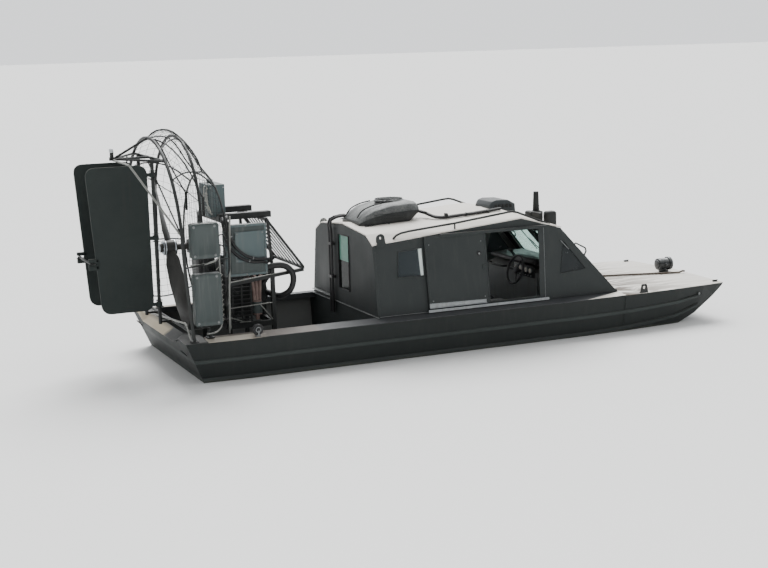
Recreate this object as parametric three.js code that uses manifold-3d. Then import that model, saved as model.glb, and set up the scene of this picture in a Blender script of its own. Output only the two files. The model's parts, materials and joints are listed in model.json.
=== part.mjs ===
// An airboat with a closed cabin: a flat-bottomed aluminium hull, an engine that drives an air
// propeller inside a wire cage at the stern, two air rudders behind it and sliding cabin doors.
// Millimetres, +X forward, +Y to port, +Z up. Stations (x) are measured forward from the top edge
// of the transom and heights (z) up from the flat bottom. The last lines move the whole boat so
// that its origin lies under its middle.

import * as THREE from 'three';
import { mergeVertices } from 'three/addons/utils/BufferGeometryUtils.js';
import Module from 'manifold-3d';

const wasm = await Module();
wasm.setup();

// Driving dimensions
const hullLength = 7000;
const sternReach = 800;
const gunwaleHeight = 590;
const plate = 8;
const gap = 0.3;

// Side deck
const deckInner = 975;
const deckRise = 20;
const deckPlate = 6;
const deckTop = gunwaleHeight + gap + deckRise + deckPlate;

// Cabin
const cabinAft = 2280;
const panel = 30;
const cabinHalfBase = 1010;
const wallBase = deckTop + gap;
const wallLean = 0.1555;
const rakeFoot = 5460;
const rakeTop = 4740;
const rakeTopHeight = 1440;
const roofPlate = 12;

// Doors
const doorAft = 2915;
const doorFore = 3705;
const openingAft = 3690;
const openingFore = 4440;
const openingLow = 665;
const openingHigh = 1458;

// Propeller, cage and rudders
const shaftHeight = 1475;
const propStation = 180;
const propRadius = 1000;
const propLean = 37;
const rearHoop = {
  x: 0, middle: shaftHeight, halfWidth: 1240, rise: 1240, footX: 100, foot: 1125, footHeight: 606, tube: 19,
};
const midHoop = {
  x: 292, middle: 1900, halfWidth: 930, rise: 822, footX: 300, foot: 1040, footHeight: 619, tube: 17,
};
const frontRing = { x: 600, halfWidth: 880, rise: 826, tube: 12 };
const ribTube = 9;
const rudderSpread = 300;
const rudderPost = -45;
const postTube = 20;
const rudderLow = 838;
const rudderHigh = 2440;

const boat = new THREE.Group();

// Finishes

function finish(color, roughness, metalness) {
  return { color, roughness, metalness };
}

const finishes = {
  hullPaint: finish(0x3a423f, 0.6, 0.3),
  deckPaint: finish(0x4a4c4a, 0.7, 0.2),
  cabinPaint: finish(0x3f4543, 0.6, 0.3),
  palePaint: finish(0xcfc6ba, 0.6, 0.1),
  bareMetal: finish(0xa8adb0, 0.4, 0.9),
  greyBox: finish(0x5a6668, 0.5, 0.3),
  darkMetal: finish(0x2a2c2c, 0.6, 0.6),
  rubber: finish(0x121212, 0.8, 0.0),
  glass: finish(0x7fae9f, 0.1, 0.0),
  rust: finish(0x6b3d2e, 0.8, 0.4),
  seatCloth: finish(0x33383a, 0.9, 0.0),
};

// Solids: closed meshes with shared vertices, joined and cut

function solid(geometry) {
  const bare = geometry.index ? geometry.toNonIndexed() : geometry;
  for (const name of Object.keys(bare.attributes)) {
    if (name !== 'position') bare.deleteAttribute(name);
  }
  const welded = mergeVertices(bare, 0.001);
  const triangles = [];
  const index = welded.index.array;
  for (let i = 0; i < index.length; i += 3) {
    const [a, b, c] = [index[i], index[i + 1], index[i + 2]];
    if (a !== b && b !== c && c !== a) triangles.push(a, b, c);
  }
  const mesh = new wasm.Mesh({
    numProp: 3,
    vertProperties: new Float32Array(welded.attributes.position.array),
    triVerts: new Uint32Array(triangles),
  });
  const made = new wasm.Manifold(mesh);
  return made.volume() < 0 ? new wasm.Manifold(flipped(mesh)) : made;
}

function flipped(mesh) {
  const turned = new Uint32Array(mesh.triVerts);
  for (let i = 0; i < turned.length; i += 3) {
    [turned[i + 1], turned[i + 2]] = [turned[i + 2], turned[i + 1]];
  }
  return new wasm.Mesh({ numProp: 3, vertProperties: mesh.vertProperties, triVerts: turned });
}

function join(solids) {
  return solids.reduce((whole, next) => whole.add(next));
}

function cut(body, tools) {
  return tools.reduce((rest, tool) => rest.subtract(tool), body);
}

function placed(geometry, x, y, z) {
  geometry.translate(x, y, z);
  return solid(geometry);
}

function box(from, to) {
  const size = to.map((value, axis) => value - from[axis]);
  const middle = to.map((value, axis) => (value + from[axis]) / 2);
  return placed(new THREE.BoxGeometry(...size), ...middle);
}

// Straight bars between two points, first round and then square-edged
function rod(from, to, radius, sides = 8) {
  const start = new THREE.Vector3(...from);
  const end = new THREE.Vector3(...to);
  const geometry = new THREE.CylinderGeometry(radius, radius, start.distanceTo(end), sides);
  const along = end.clone().sub(start).normalize();
  geometry.applyQuaternion(new THREE.Quaternion().setFromUnitVectors(new THREE.Vector3(0, 1, 0), along));
  return placed(geometry, ...start.add(end).multiplyScalar(0.5));
}

function beam(from, to, width, height) {
  const start = new THREE.Vector3(...from);
  const end = new THREE.Vector3(...to);
  const along = end.clone().sub(start);
  const length = along.length();
  along.normalize();
  const upward = Math.abs(along.z) > 0.9 ? new THREE.Vector3(1, 0, 0) : new THREE.Vector3(0, 0, 1);
  const side = new THREE.Vector3().crossVectors(upward, along).normalize();
  const top = new THREE.Vector3().crossVectors(along, side);
  const geometry = new THREE.BoxGeometry(length, width, height);
  geometry.applyMatrix4(new THREE.Matrix4().makeBasis(along, side, top));
  return placed(geometry, ...start.add(end).multiplyScalar(0.5));
}

// A round tube along a smooth path through a few points
function pipe(points, radius, steps, sides = 8) {
  const corners = points.map((point) => new THREE.Vector3(...point));
  const path = new THREE.CatmullRomCurve3(corners, false, 'centripetal');
  const circle = new THREE.Shape();
  for (let i = 0; i < sides; i += 1) {
    const turn = (i / sides) * Math.PI * 2;
    const [x, y] = [radius * Math.cos(turn), radius * Math.sin(turn)];
    if (i === 0) circle.moveTo(x, y);
    else circle.lineTo(x, y);
  }
  circle.closePath();
  return solid(new THREE.ExtrudeGeometry(circle, { steps, bevelEnabled: false, extrudePath: path }));
}

// A flat plate: an outline in two directions, thickened along a third, with openings cut through
function slab(outline, from, to, holes, directions, origin) {
  const axes = directions.map((direction) => new THREE.Vector3(...direction));
  const frame = new THREE.Matrix4().makeBasis(...axes);
  frame.setPosition(...origin);
  const block = (points, low, high) => {
    const shape = new THREE.Shape(points.map(([u, v]) => new THREE.Vector2(u, v)));
    const geometry = new THREE.ExtrudeGeometry(shape, { depth: high - low, bevelEnabled: false });
    geometry.translate(0, 0, low);
    return solid(geometry);
  };
  const openings = holes.map((hole) => block(hole, from - 1, to + 1));
  return cut(block(outline, from, to), openings).transform(frame.toArray());
}

function plateAlongY(outline, from, to, holes = []) {
  return slab(outline, -to, -from, holes, [[1, 0, 0], [0, 0, 1], [0, -1, 0]], [0, 0, 0]);
}

function plateAlongX(outline, from, to, holes = []) {
  return slab(outline, from, to, holes, [[0, 1, 0], [0, 0, 1], [1, 0, 0]], [0, 0, 0]);
}

// A skin over a row of sections with equally many points, closed at both ends
function loft(sections) {
  const positions = [];
  const count = sections[0].length;
  const triangle = (a, b, c) => positions.push(...a, ...b, ...c);
  for (let i = 0; i + 1 < sections.length; i += 1) {
    for (let j = 0; j < count; j += 1) {
      const k = (j + 1) % count;
      triangle(sections[i][j], sections[i + 1][j], sections[i + 1][k]);
      triangle(sections[i][j], sections[i + 1][k], sections[i][k]);
    }
  }
  capEnd(sections[0], triangle, false);
  capEnd(sections[sections.length - 1], triangle, true);
  const geometry = new THREE.BufferGeometry();
  geometry.setAttribute('position', new THREE.Float32BufferAttribute(positions, 3));
  return solid(geometry);
}

// The end of a loft, split into triangles in the plane where it shows widest
function capEnd(section, triangle, turned) {
  const area = [0, 0, 0];
  const planes = [[1, 2], [2, 0], [0, 1]];
  section.forEach((point, i) => {
    const next = section[(i + 1) % section.length];
    planes.forEach(([u, v], axis) => {
      area[axis] += point[u] * next[v] - next[u] * point[v];
    });
  });
  const size = area.map(Math.abs);
  const widest = size.indexOf(Math.max(...size));
  const [u, v] = planes[widest];
  const flat = section.map((point) => new THREE.Vector2(point[u], point[v]));
  for (const [a, b, c] of THREE.ShapeUtils.triangulateShape(flat, [])) {
    const side = THREE.ShapeUtils.area([flat[a], flat[b], flat[c]]);
    const keeps = (side > 0) === (area[widest] > 0);
    const [q, r] = keeps === turned ? [c, b] : [b, c];
    triangle(section[a], section[q], section[r]);
  }
}

function mirrored(made) {
  return made.scale([1, -1, 1]);
}

function addPart(name, made, look) {
  const mesh = made.getMesh();
  const geometry = new THREE.BufferGeometry();
  geometry.setAttribute('position', new THREE.BufferAttribute(new Float32Array(mesh.vertProperties), 3));
  geometry.setIndex(new THREE.BufferAttribute(new Uint32Array(mesh.triVerts), 1));
  geometry.computeVertexNormals();
  const part = new THREE.Mesh(geometry, new THREE.MeshStandardMaterial(finishes[look]));
  part.name = name;
  boat.add(part);
}

function addPair(name, made, look) {
  addPart(`${name}_starboard`, made, look);
  addPart(`${name}_port`, mirrored(made), look);
}

// Hull

// Columns: station of the top edge, station of the chine, half beam at the top edge, half beam
// at the chine, height of the bottom
const hullSections = [
  [0, 250, 1160, 1080, 0],
  [600, 720, 1192, 1108, 0],
  [4900, 4900, 1192, 1108, 0],
  [5600, 5560, 1168, 1085, 22],
  [6300, 6240, 1118, 1040, 100],
  [6700, 6600, 1084, 1010, 240],
  [6930, 6880, 1060, 1004, 430],
  [hullLength, 6984, 1052, 1024, 535],
].map(([topX, chineX, topHalf, chineHalf, low]) => ({ topX, chineX, topHalf, chineHalf, low }));

const strakeLevels = [0.29, 0.64];
const strakeHalfHeight = 21;
const strakeDepth = 12;
const transomNotch = [[-900, 600], [-675, 533], [675, 533], [900, 600]];

// A point on the hull's starboard side, a share of the way up from chine to gunwale
function sidePoint(section, share, outward) {
  const x = section.chineX + (section.topX - section.chineX) * share;
  const half = section.chineHalf + (section.topHalf - section.chineHalf) * share;
  const z = section.low + (gunwaleHeight - section.low) * share;
  return [x, -half - outward, z];
}

function hullBody(inset, bottomInset, endInset, topHeight) {
  return loft(hullSections.map((section, i) => {
    const ends = i === 0 ? endInset : i === hullSections.length - 1 ? -endInset : 0;
    const topHalf = section.topHalf - inset;
    const lowHalf = section.chineHalf - inset;
    return [
      [section.chineX + ends, -lowHalf, section.low + bottomInset],
      [section.chineX + ends, lowHalf, section.low + bottomInset],
      [section.topX + ends, topHalf, topHeight],
      [section.topX + ends, -topHalf, topHeight],
    ];
  }));
}

function strake(share) {
  const inward = -3;
  const sections = hullSections.slice(0, 6).map((section) => {
    const height = gunwaleHeight - section.low;
    const half = strakeHalfHeight / height;
    return [
      sidePoint(section, share - half, inward),
      sidePoint(section, share - half, strakeDepth * 0.6),
      sidePoint(section, share - half * 0.5, strakeDepth),
      sidePoint(section, share + half * 0.5, strakeDepth),
      sidePoint(section, share + half, strakeDepth * 0.6),
      sidePoint(section, share + half, inward),
    ];
  });
  return loft(sections);
}

const strakes = strakeLevels.map(strake);
const hollow = hullBody(plate, plate, plate + 2, gunwaleHeight + 12);
const tub = cut(hullBody(0, 0, 0, gunwaleHeight), [hollow, plateAlongX(transomNotch, -50, 200)]);
const shell = join([tub, ...strakes, ...strakes.map(mirrored)]);

// The bow section is made apart and joined on where the foredeck begins
const bowJoint = rakeFoot + 20;
const bowSpace = box([bowJoint, -1400, -100], [hullLength + 100, 1400, 800]);
addPart('hull', cut(shell, [bowSpace]), 'hullPaint');
addPart('bow', shell.intersect(bowSpace.translate([gap, 0, 0])), 'hullPaint');

// Decks

// Half beam of the gunwale at a station
function gunwaleHalf(x) {
  const next = hullSections.findIndex((section) => section.topX >= x);
  if (next <= 0) return hullSections[0].topHalf;
  const [a, b] = [hullSections[next - 1], hullSections[next]];
  return a.topHalf + ((b.topHalf - a.topHalf) * (x - a.topX)) / (b.topX - a.topX);
}

const sternDeckFore = 240;
const propellerBay = 110;
const deckLip = 10;
const coamingDepth = 60;

function sideDeckSection(x) {
  const outer = gunwaleHalf(x) + deckLip;
  const under = gunwaleHeight + gap;
  const innerUnder = under + deckRise;
  return [
    [x, -outer, under],
    [x, -deckInner - deckPlate, innerUnder],
    [x, -deckInner - deckPlate, innerUnder - coamingDepth],
    [x, -deckInner, innerUnder - coamingDepth],
    [x, -deckInner, innerUnder + deckPlate],
    [x, -outer, under + deckPlate],
  ];
}

const sideDeck = loft([sternDeckFore + gap, 600, 4900, rakeFoot + 20].map(sideDeckSection));
addPair('side_deck', sideDeck, 'deckPaint');

// The stern deck slopes aft in the middle, down to the notch in the transom's top edge, and is
// shorter there, so that the blades pass ahead of it
function sternDeckSection(y, aftHeight) {
  const fore = gunwaleHeight + gap + (Math.abs(y) < 1000 ? deckRise : 0);
  const foreEdge = Math.abs(y) < 700 ? propellerBay : sternDeckFore;
  return [
    [-deckLip, y, aftHeight],
    [foreEdge, y, fore],
    [foreEdge, y, fore + deckPlate],
    [-deckLip, y, aftHeight + deckPlate],
  ];
}

const sternDeck = loft([
  sternDeckSection(-1160, gunwaleHeight + gap),
  sternDeckSection(-868, gunwaleHeight + gap + 10),
  sternDeckSection(-655, 536),
  sternDeckSection(655, 536),
  sternDeckSection(868, gunwaleHeight + gap + 10),
  sternDeckSection(1160, gunwaleHeight + gap),
]);
addPart('stern_deck', sternDeck, 'palePaint');

// Foredeck with its two cleats and two lifting lugs

const foredeckAft = bowJoint + gap;
const foredeckCrown = 26;

function foredeckSection(x) {
  const half = gunwaleHalf(x) + deckLip;
  const low = gunwaleHeight + gap;
  return [
    [x, -half, low],
    [x, 0, low + foredeckCrown],
    [x, half, low],
    [x, half, low + deckPlate],
    [x, 0, low + foredeckCrown + deckPlate],
    [x, -half, low + deckPlate],
  ];
}

// Height of the foredeck's top surface, which falls away to both sides
function foredeckTop(x, y) {
  const share = 1 - Math.abs(y) / (gunwaleHalf(x) + deckLip);
  return gunwaleHeight + gap + foredeckCrown * share + deckPlate;
}

function liftingLug(x, y, low) {
  const hole = [];
  for (let i = 0; i < 10; i += 1) {
    const turn = (i / 10) * Math.PI * 2;
    hole.push([x + 18 * Math.cos(turn), low + 62 + 18 * Math.sin(turn)]);
  }
  const outline = [[x - 45, low], [x + 45, low]];
  for (let i = 0; i <= 8; i += 1) {
    const turn = (i / 8) * Math.PI;
    outline.push([x + 40 * Math.cos(turn), low + 62 + 40 * Math.sin(turn)]);
  }
  return plateAlongY(outline, y - 8, y + 8, [hole]);
}

function cleat(x, y, low) {
  return join([
    box([x - 22, y - 14, low], [x + 22, y + 14, low + 46]),
    rod([x - 85, y, low + 52], [x + 85, y, low + 52], 13, 6),
  ]);
}

const foredeckPlate = loft([foredeckAft, 5600, 6300, 6700, 6930, hullLength - 4].map(foredeckSection));
const foredeckFittings = [-1, 1].flatMap((side) => [
  liftingLug(5860, side * 960, gunwaleHeight + 2),
  cleat(6860, side * 930, gunwaleHeight + 2),
]);
addPart('foredeck', join([foredeckPlate, ...foredeckFittings]), 'palePaint');

// Floor of the cabin and of the engine well

function floorPlate(from, to) {
  const runnerEnd = Math.min(to, 4880);
  const runners = [-700, 0, 700].map((y) => box([from, y - 20, plate + gap], [runnerEnd, y + 20, 55]));
  return join([box([from, -1040, 50], [to, 1040, 58]), ...runners]);
}

const floorTop = 58;
addPart('well_floor', floorPlate(262, cabinAft - gap), 'deckPaint');
addPart('cabin_floor', floorPlate(cabinAft + panel + gap, 5380), 'deckPaint');

// Cabin

// Height of the wall's top edge and form of the roof along the boat. Columns: station, height of
// the wall's top edge, half width and height of the roof's shoulder, height of its ridge
const roofSections = [
  [cabinAft + 0.5, 1421, 700, 1519, 1579],
  [3230, 1504, 690, 1562, 1612],
  [4220, 1588, 655, 1622, 1650],
  [4570, 1490, 690, 1515, 1535],
  [4752, 1441, 720, 1449, 1455],
].map(([x, wallTop, shoulderHalf, shoulder, ridge]) => ({ x, wallTop, shoulderHalf, shoulder, ridge }));

// The walls lean in: y of a wall's outer face at a height
function wallFace(z) {
  return cabinHalfBase - wallLean * (z - wallBase);
}

// A plate on the starboard wall, from one depth outside its face to another, leaning with it
function onWall(outline, outside, inside, holes = []) {
  const upright = plateAlongY(outline, -cabinHalfBase - outside, -cabinHalfBase + inside, holes);
  return upright.warp((point) => {
    point[1] += wallLean * (point[2] - wallBase);
  });
}

const wallOutline = [
  [cabinAft + panel + gap, wallBase],
  [rakeFoot, wallBase],
  [rakeTop, rakeTopHeight],
  [4570, 1490 - gap],
  [4220, 1588 - gap],
  [3230, 1504 - gap],
  [cabinAft + panel + gap, 1424 - gap],
];
const sideWindow = [[2560, 1040], [2895, 1040], [2895, 1352], [2590, 1330]];
const quarterWindow = [[4690, 900], [5040, 935], [4760, 1290]];
const doorway = [
  [openingAft, openingLow],
  [openingFore, openingLow],
  [openingFore, openingHigh],
  [openingAft, openingHigh],
];
const trackAft = 2895;
const topTrackAft = 3130;
const trackFore = 4480;
const trackDepth = 46;
const topTrackLow = 1484;

// A length of angle section along the wall that a door's edge runs behind
function trackSection(aft, base, thickness, lip) {
  const length = [aft, trackFore];
  const strip = (low, high, outside, inside) => onWall(
    [[length[0], low], [length[1], low], [length[1], high], [length[0], high]],
    outside,
    inside,
  );
  const shelf = strip(Math.min(base, base + thickness), Math.max(base, base + thickness), trackDepth, -gap);
  const edge = strip(Math.min(base, base + lip), Math.max(base, base + lip), trackDepth, -trackDepth + 5);
  return join([shelf, edge]);
}

const wallPlate = onWall(wallOutline, 0, panel, [sideWindow, quarterWindow, doorway]);
const topTrack = trackSection(topTrackAft, topTrackLow + 10, -10, -32);
addPair('cabin_wall', join([wallPlate, topTrack.translate([0, 2, 0])]), 'cabinPaint');
addPair('door_track', trackSection(trackAft, wallBase + 4, 7, 30), 'bareMetal');

function aftWindowOutline(inset) {
  const [near, far, low, high] = [-190 + inset, 130 - inset, 800 + inset, 1450 - inset];
  return [[near, low], [far, low], [far, high], [near, high]];
}

const roofAft = roofSections[0];
const shoulderDrop = 3;
const coamingLow = 548;
const bulkheadOutline = [
  [-1095, plate + gap],
  [1095, plate + gap],
  [1160, coamingLow],
  [deckInner - gap, coamingLow],
  [deckInner - gap, wallBase],
  [cabinHalfBase, wallBase],
  [wallFace(roofAft.wallTop), roofAft.wallTop - gap],
  [roofAft.shoulderHalf, roofAft.shoulder - shoulderDrop],
  [0, roofAft.ridge - shoulderDrop],
  [-roofAft.shoulderHalf, roofAft.shoulder - shoulderDrop],
  [-wallFace(roofAft.wallTop), roofAft.wallTop - gap],
  [-cabinHalfBase, wallBase],
  [-deckInner + gap, wallBase],
  [-deckInner + gap, coamingLow],
  [-1160, coamingLow],
];
const bulkhead = plateAlongX(bulkheadOutline, cabinAft, cabinAft + panel, [aftWindowOutline(0)]);

addPart('aft_bulkhead', bulkhead, 'cabinPaint');

// Windscreen frame: a raked panel between the side walls, with two openings

const rakeRun = rakeFoot - rakeTop;
const rakeRise = rakeTopHeight - wallBase;
const rakeLength = Math.hypot(rakeRun, rakeRise);
const rakeUp = [-rakeRun / rakeLength, 0, rakeRise / rakeLength];
const rakeOut = [rakeRise / rakeLength, 0, rakeRun / rakeLength];

function onRake(outline, outside, inside, holes = []) {
  return slab(outline, -inside, outside, holes, [[0, 1, 0], rakeUp, rakeOut], [rakeFoot, 0, wallBase]);
}

const screenFootHalf = cabinHalfBase - panel - 0.5;
const screenTopHalf = wallFace(rakeTopHeight) - panel - 0.5;
const screenOutline = [
  [-screenFootHalf, -panel],
  [screenFootHalf, -panel],
  [screenTopHalf, rakeLength - 2],
  [-screenTopHalf, rakeLength - 2],
];

function screenWindow(inset) {
  return [
    [60 + inset, 420 + inset],
    [780 - inset, 420 + inset],
    [700 - inset, 960 - inset],
    [60 + inset, 960 - inset],
  ];
}

const otherSide = (outline) => outline.map(([y, v]) => [-y, v]).reverse();
const underScreen = box([4000, -1200, 0], [6000, 1200, wallBase + gap]);
const screenPanel = cut(
  onRake(screenOutline, 0, panel, [screenWindow(0), otherSide(screenWindow(0))]),
  [underScreen],
);
const sillHalf = deckInner - gap;
const sill = box([rakeFoot - 30, -sillHalf, coamingLow + 7], [rakeFoot + 20, sillHalf, wallBase + 24]);
addPart('windscreen_frame', join([screenPanel, sill]), 'cabinPaint');
addPair('windscreen_glass', onRake(otherSide(screenWindow(gap)), -8, 16), 'glass');

// Window panes sit in the middle of the panel's thickness

function shrunk(outline, by) {
  const mean = (axis) => outline.reduce((sum, point) => sum + point[axis], 0) / outline.length;
  const middle = [mean(0), mean(1)];
  return outline.map(([x, z]) => {
    const reach = Math.hypot(x - middle[0], z - middle[1]);
    const share = (reach - by) / reach;
    return [middle[0] + (x - middle[0]) * share, middle[1] + (z - middle[1]) * share];
  });
}

addPart('aft_glass', plateAlongX(aftWindowOutline(gap), cabinAft + 10, cabinAft + 18), 'glass');
addPair('side_glass', onWall(shrunk(sideWindow, 0.6), -10, 18), 'glass');
addPair('quarter_glass', onWall(shrunk(quarterWindow, 0.9), -10, 18), 'glass');

// Roof

function roofSection({ x, wallTop, shoulderHalf, shoulder, ridge }) {
  const eave = wallFace(wallTop);
  const near = [[-eave, wallTop], [-shoulderHalf, shoulder]];
  const far = [[shoulderHalf, shoulder], [eave, wallTop]];
  const under = [...near, [0, ridge], ...far];
  const over = [...under].reverse().map(([y, z]) => [y, z + roofPlate]);
  return [...under, ...over].map(([y, z]) => [x, y, z + gap]);
}

const roof = loft(roofSections.map(roofSection));
addPart('roof', roof, 'palePaint');

// Gear on the roof is sunk a little into it and then cut to its surface
const roofRaised = roof.translate([0, 0, gap]);
const sunk = 5;

function seatOnRoof(made) {
  return cut(made, [roofRaised]);
}

// Height of the roof's top surface
function roofTop(x, y) {
  const next = Math.max(1, roofSections.findIndex((section) => section.x >= x));
  const [a, b] = [roofSections[next - 1], roofSections[next]];
  const share = (x - a.x) / (b.x - a.x);
  const mix = (key) => a[key] + (b[key] - a[key]) * share;
  const half = mix('shoulderHalf');
  const out = Math.abs(y);
  const eave = wallFace(mix('wallTop'));
  const z = out < half
    ? mix('ridge') + ((mix('shoulder') - mix('ridge')) * out) / half
    : mix('shoulder') + ((mix('wallTop') - mix('shoulder')) * (out - half)) / (eave - half);
  return z + roofPlate + gap;
}

// Lifting lugs stand on the roof's two aft corners
const lugX = 2390;
const lugY = 855;
const lugAxis = 1500;
const lugThick = 16;
const lugHalf = 44;
const lugFoot = (x) => roofTop(x, lugY) - roofPlate / 2 - lugAxis;
const lugPlate = new THREE.Shape();
lugPlate.moveTo(-lugHalf, lugFoot(lugX - lugHalf));
lugPlate.lineTo(lugHalf, lugFoot(lugX + lugHalf));
lugPlate.absarc(0, 0, lugHalf, 0, Math.PI, false);
lugPlate.closePath();
const lugHole = new THREE.Path();
lugHole.absarc(0, 0, 19, 0, Math.PI * 2, true);
lugPlate.holes.push(lugHole);
const lugDepth = { depth: lugThick, bevelEnabled: false, curveSegments: 8 };
const lugForm = new THREE.ExtrudeGeometry(lugPlate, lugDepth);
lugForm.rotateX(Math.PI / 2);
const lug = placed(lugForm, lugX, lugThick / 2 - lugY, lugAxis);
addPart('roof_lug_starboard', seatOnRoof(lug), 'cabinPaint');
addPart('roof_lug_port', seatOnRoof(mirrored(lug)), 'cabinPaint');

// Sliding doors: a panel that hangs clear of the wall, on two runners in the lower track

const doorGap = 8;
const doorThickness = 22;
const doorLow = 662;
const doorHigh = 1476;

const doorPanel = onWall(
  [[doorAft, doorLow], [doorFore, doorLow], [doorFore, doorHigh], [doorAft, doorHigh]],
  doorGap + doorThickness,
  -doorGap,
);
const runnerLow = wallBase + 11 + gap;
const runners = [doorAft + 30, doorFore - 110].map((x) => onWall(
  [[x, runnerLow], [x + 80, runnerLow], [x + 80, doorLow + 1], [x, doorLow + 1]],
  doorGap + doorThickness - 3,
  -doorGap - 3,
));
const lockOutline = [[3640, 1050], [3690, 1050], [3690, 1100], [3640, 1100]];
const doorLock = onWall(lockOutline, doorGap + doorThickness + 9, -doorGap);
const openDoor = join([doorPanel, ...runners, doorLock]);
addPart('door_starboard', openDoor, 'cabinPaint');
addPart('door_port', mirrored(openDoor), 'cabinPaint');

// Gear on the roof

const podAft = 2390;
const podFore = 3180;
const podHalf = 330;
const podHigh = 1822;

function podSection(x, half, high) {
  const low = roofTop(x, half) - sunk;
  const under = roofTop(x, 0) - sunk;
  return [
    [x, -half, low],
    [x, 0, under],
    [x, half, low],
    [x, half, low + (high - low) * 0.55],
    [x, half * 0.86, high - (high - low) * 0.12],
    [x, half * 0.68, high],
    [x, -half * 0.68, high],
    [x, -half * 0.86, high - (high - low) * 0.12],
    [x, -half, low + (high - low) * 0.55],
  ];
}

const podBody = loft([
  podSection(podAft, podHalf * 0.8, podHigh - 200),
  podSection(podAft + 60, podHalf * 0.92, podHigh - 136),
  podSection(podAft + 180, podHalf, podHigh - 66),
  podSection(podAft + 400, podHalf, podHigh - 14),
  podSection(podAft + 640, podHalf, podHigh),
  podSection(podFore - 60, podHalf * 0.95, podHigh - 8),
  podSection(podFore - 12, podHalf * 0.86, podHigh - 42),
  podSection(podFore, podHalf * 0.78, podHigh - 90),
]);
const podGrille = new THREE.CylinderGeometry(150, 165, 26, 20);
podGrille.rotateX(Math.PI / 2);
podGrille.scale(1.15, 1, 1);
const podWhole = join([podBody, placed(podGrille, podAft + 500, 0, podHigh + 4)]);
addPart('air_conditioner', seatOnRoof(podWhole), 'darkMetal');

const ventMiddle = -60;

function ventSection(x, half, high) {
  const [near, far] = [ventMiddle - half, ventMiddle + half];
  return [
    [x, near, roofTop(x, near) - sunk],
    [x, ventMiddle, roofTop(x, ventMiddle) - sunk],
    [x, far, roofTop(x, far) - sunk],
    [x, far - 20, high],
    [x, near + 20, high],
  ];
}

const vent = loft([
  ventSection(4125, 195, 1690),
  ventSection(4160, 205, 1732),
  ventSection(4219, 205, 1750),
  ventSection(4380, 205, 1744),
  ventSection(4480, 195, 1690),
]);
addPart('roof_vent', seatOnRoof(vent), 'darkMetal');

const mastX = 4690;
const mastY = -390;
const mastFoot = roofTop(mastX + 55, mastY - 60);
const mast = join([
  loft([mastX - 120, mastX + 58].map((x) => [
    [x, mastY - 70, roofTop(x, mastY - 70) - sunk],
    [x, mastY + 70, roofTop(x, mastY + 70) - sunk],
    [x, mastY + 70, mastFoot + 110],
    [x, mastY - 70, mastFoot + 110],
  ])),
  rod([mastX, mastY, mastFoot + 100], [mastX, mastY, 1835], 24, 12),
  rod([mastX, mastY, 1790], [mastX, mastY, 1840], 31, 12),
]);
addPart('mast', seatOnRoof(mast), 'darkMetal');

const cornerLampX = 4700;
const cornerLamp = loft([cornerLampX - 60, cornerLampX + 48].map((x) => [
  [x, -690, roofTop(x, -690) - sunk],
  [x, -580, roofTop(x, -580) - sunk],
  [x, -585, 1625],
  [x, -685, 1625],
]));
addPart('corner_lamp', seatOnRoof(cornerLamp), 'darkMetal');

// Roof rails, each on three feet

const railY = -845;
const railPath = [
  [2640, railY, roofTop(2640, railY) + 10],
  [2690, railY, 1533],
  [3360, railY, 1606],
  [4070, railY, 1678],
  [4180, railY, 1680],
  [4330, railY, 1640],
  [4540, railY, roofTop(4540, railY) + 10],
];
const railFeet = [
  [2640, 14],
  [3360, 1600],
  [4120, 1676],
  [4540, 14],
].map(([x, high]) => {
  const low = roofTop(x, railY) - sunk;
  return rod([x, railY, low], [x, railY, high > 100 ? high : low + high], high > 100 ? 9 : 18, 8);
});
addPair('roof_rail', seatOnRoof(join([pipe(railPath, 12, 24, 6), ...railFeet])), 'darkMetal');

const conduitPath = [
  [podFore + 2, -150, 1690],
  [podFore + 70, -230, 1668],
  [podFore + 150, -420, roofTop(podFore + 150, -420) + 26],
  [3600, -470, roofTop(3600, -470) + 26],
  [3900, -460, roofTop(3900, -460) + 26],
  [4180, -420, roofTop(4180, -420) + 26],
];
const conduit = cut(pipe(conduitPath, 20, 20, 6), [roofRaised, podBody.translate([gap, 0, 0])]);
addPart('roof_conduit', conduit, 'rubber');

// Two hoses run from the air conditioner over the roof's aft edge and down the bulkhead
const hoseY = [270, 330];
const aftHoses = hoseY.map((y) => pipe([
  [podAft + 40, y - 60, 1650],
  [podAft - 60, y - 30, 1640],
  [cabinAft - 40, y, 1590],
  [cabinAft - 36, y, 1450],
  [cabinAft - 36, y, 900],
  [cabinAft - 36, y, 480],
], 17, 20, 6));
const hoseClips = [1300, 900].map((z) => box(
  [cabinAft - 52, hoseY[0] - 25, z],
  [cabinAft - gap, hoseY[1] + 25, z + 30],
));
const podRaised = podBody.translate([-gap, 0, gap]);
const hosesClear = cut(join([...aftHoses, ...hoseClips]), [podBody, podRaised]);
addPart('cooling_hoses', hosesClear, 'rubber');

// Foredeck gear: a searchlight that pans on its base, and a pole in two clips

const lampX = 6758;
const lampY = -120;
const lampBaseTop = foredeckTop(lampX, lampY) + 14;
const lampFoot = new THREE.CylinderGeometry(56, 64, 18, 20).rotateX(Math.PI / 2);
const lampNeck = new THREE.CylinderGeometry(42, 52, 40, 16).rotateX(Math.PI / 2);
const foredeckRaised = foredeckPlate.translate([0, 0, gap]);
const lampAxis = lampBaseTop + 92;
const lampHead = join([
  placed(lampNeck, lampX, lampY, lampBaseTop + gap + 20),
  rod([lampX - 95, lampY, lampAxis], [lampX + 62, lampY, lampAxis], 74, 20),
  rod([lampX - 108, lampY, lampAxis], [lampX - 90, lampY, lampAxis], 52, 20),
  rod([lampX + 50, lampY, lampAxis], [lampX + 92, lampY, lampAxis], 88, 20),
]);
const lampBase = cut(placed(lampFoot, lampX, lampY, lampBaseTop - 9), [foredeckRaised]);
addPart('searchlight_base', lampBase, 'darkMetal');
addPart('searchlight_head', lampHead, 'darkMetal');

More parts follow.
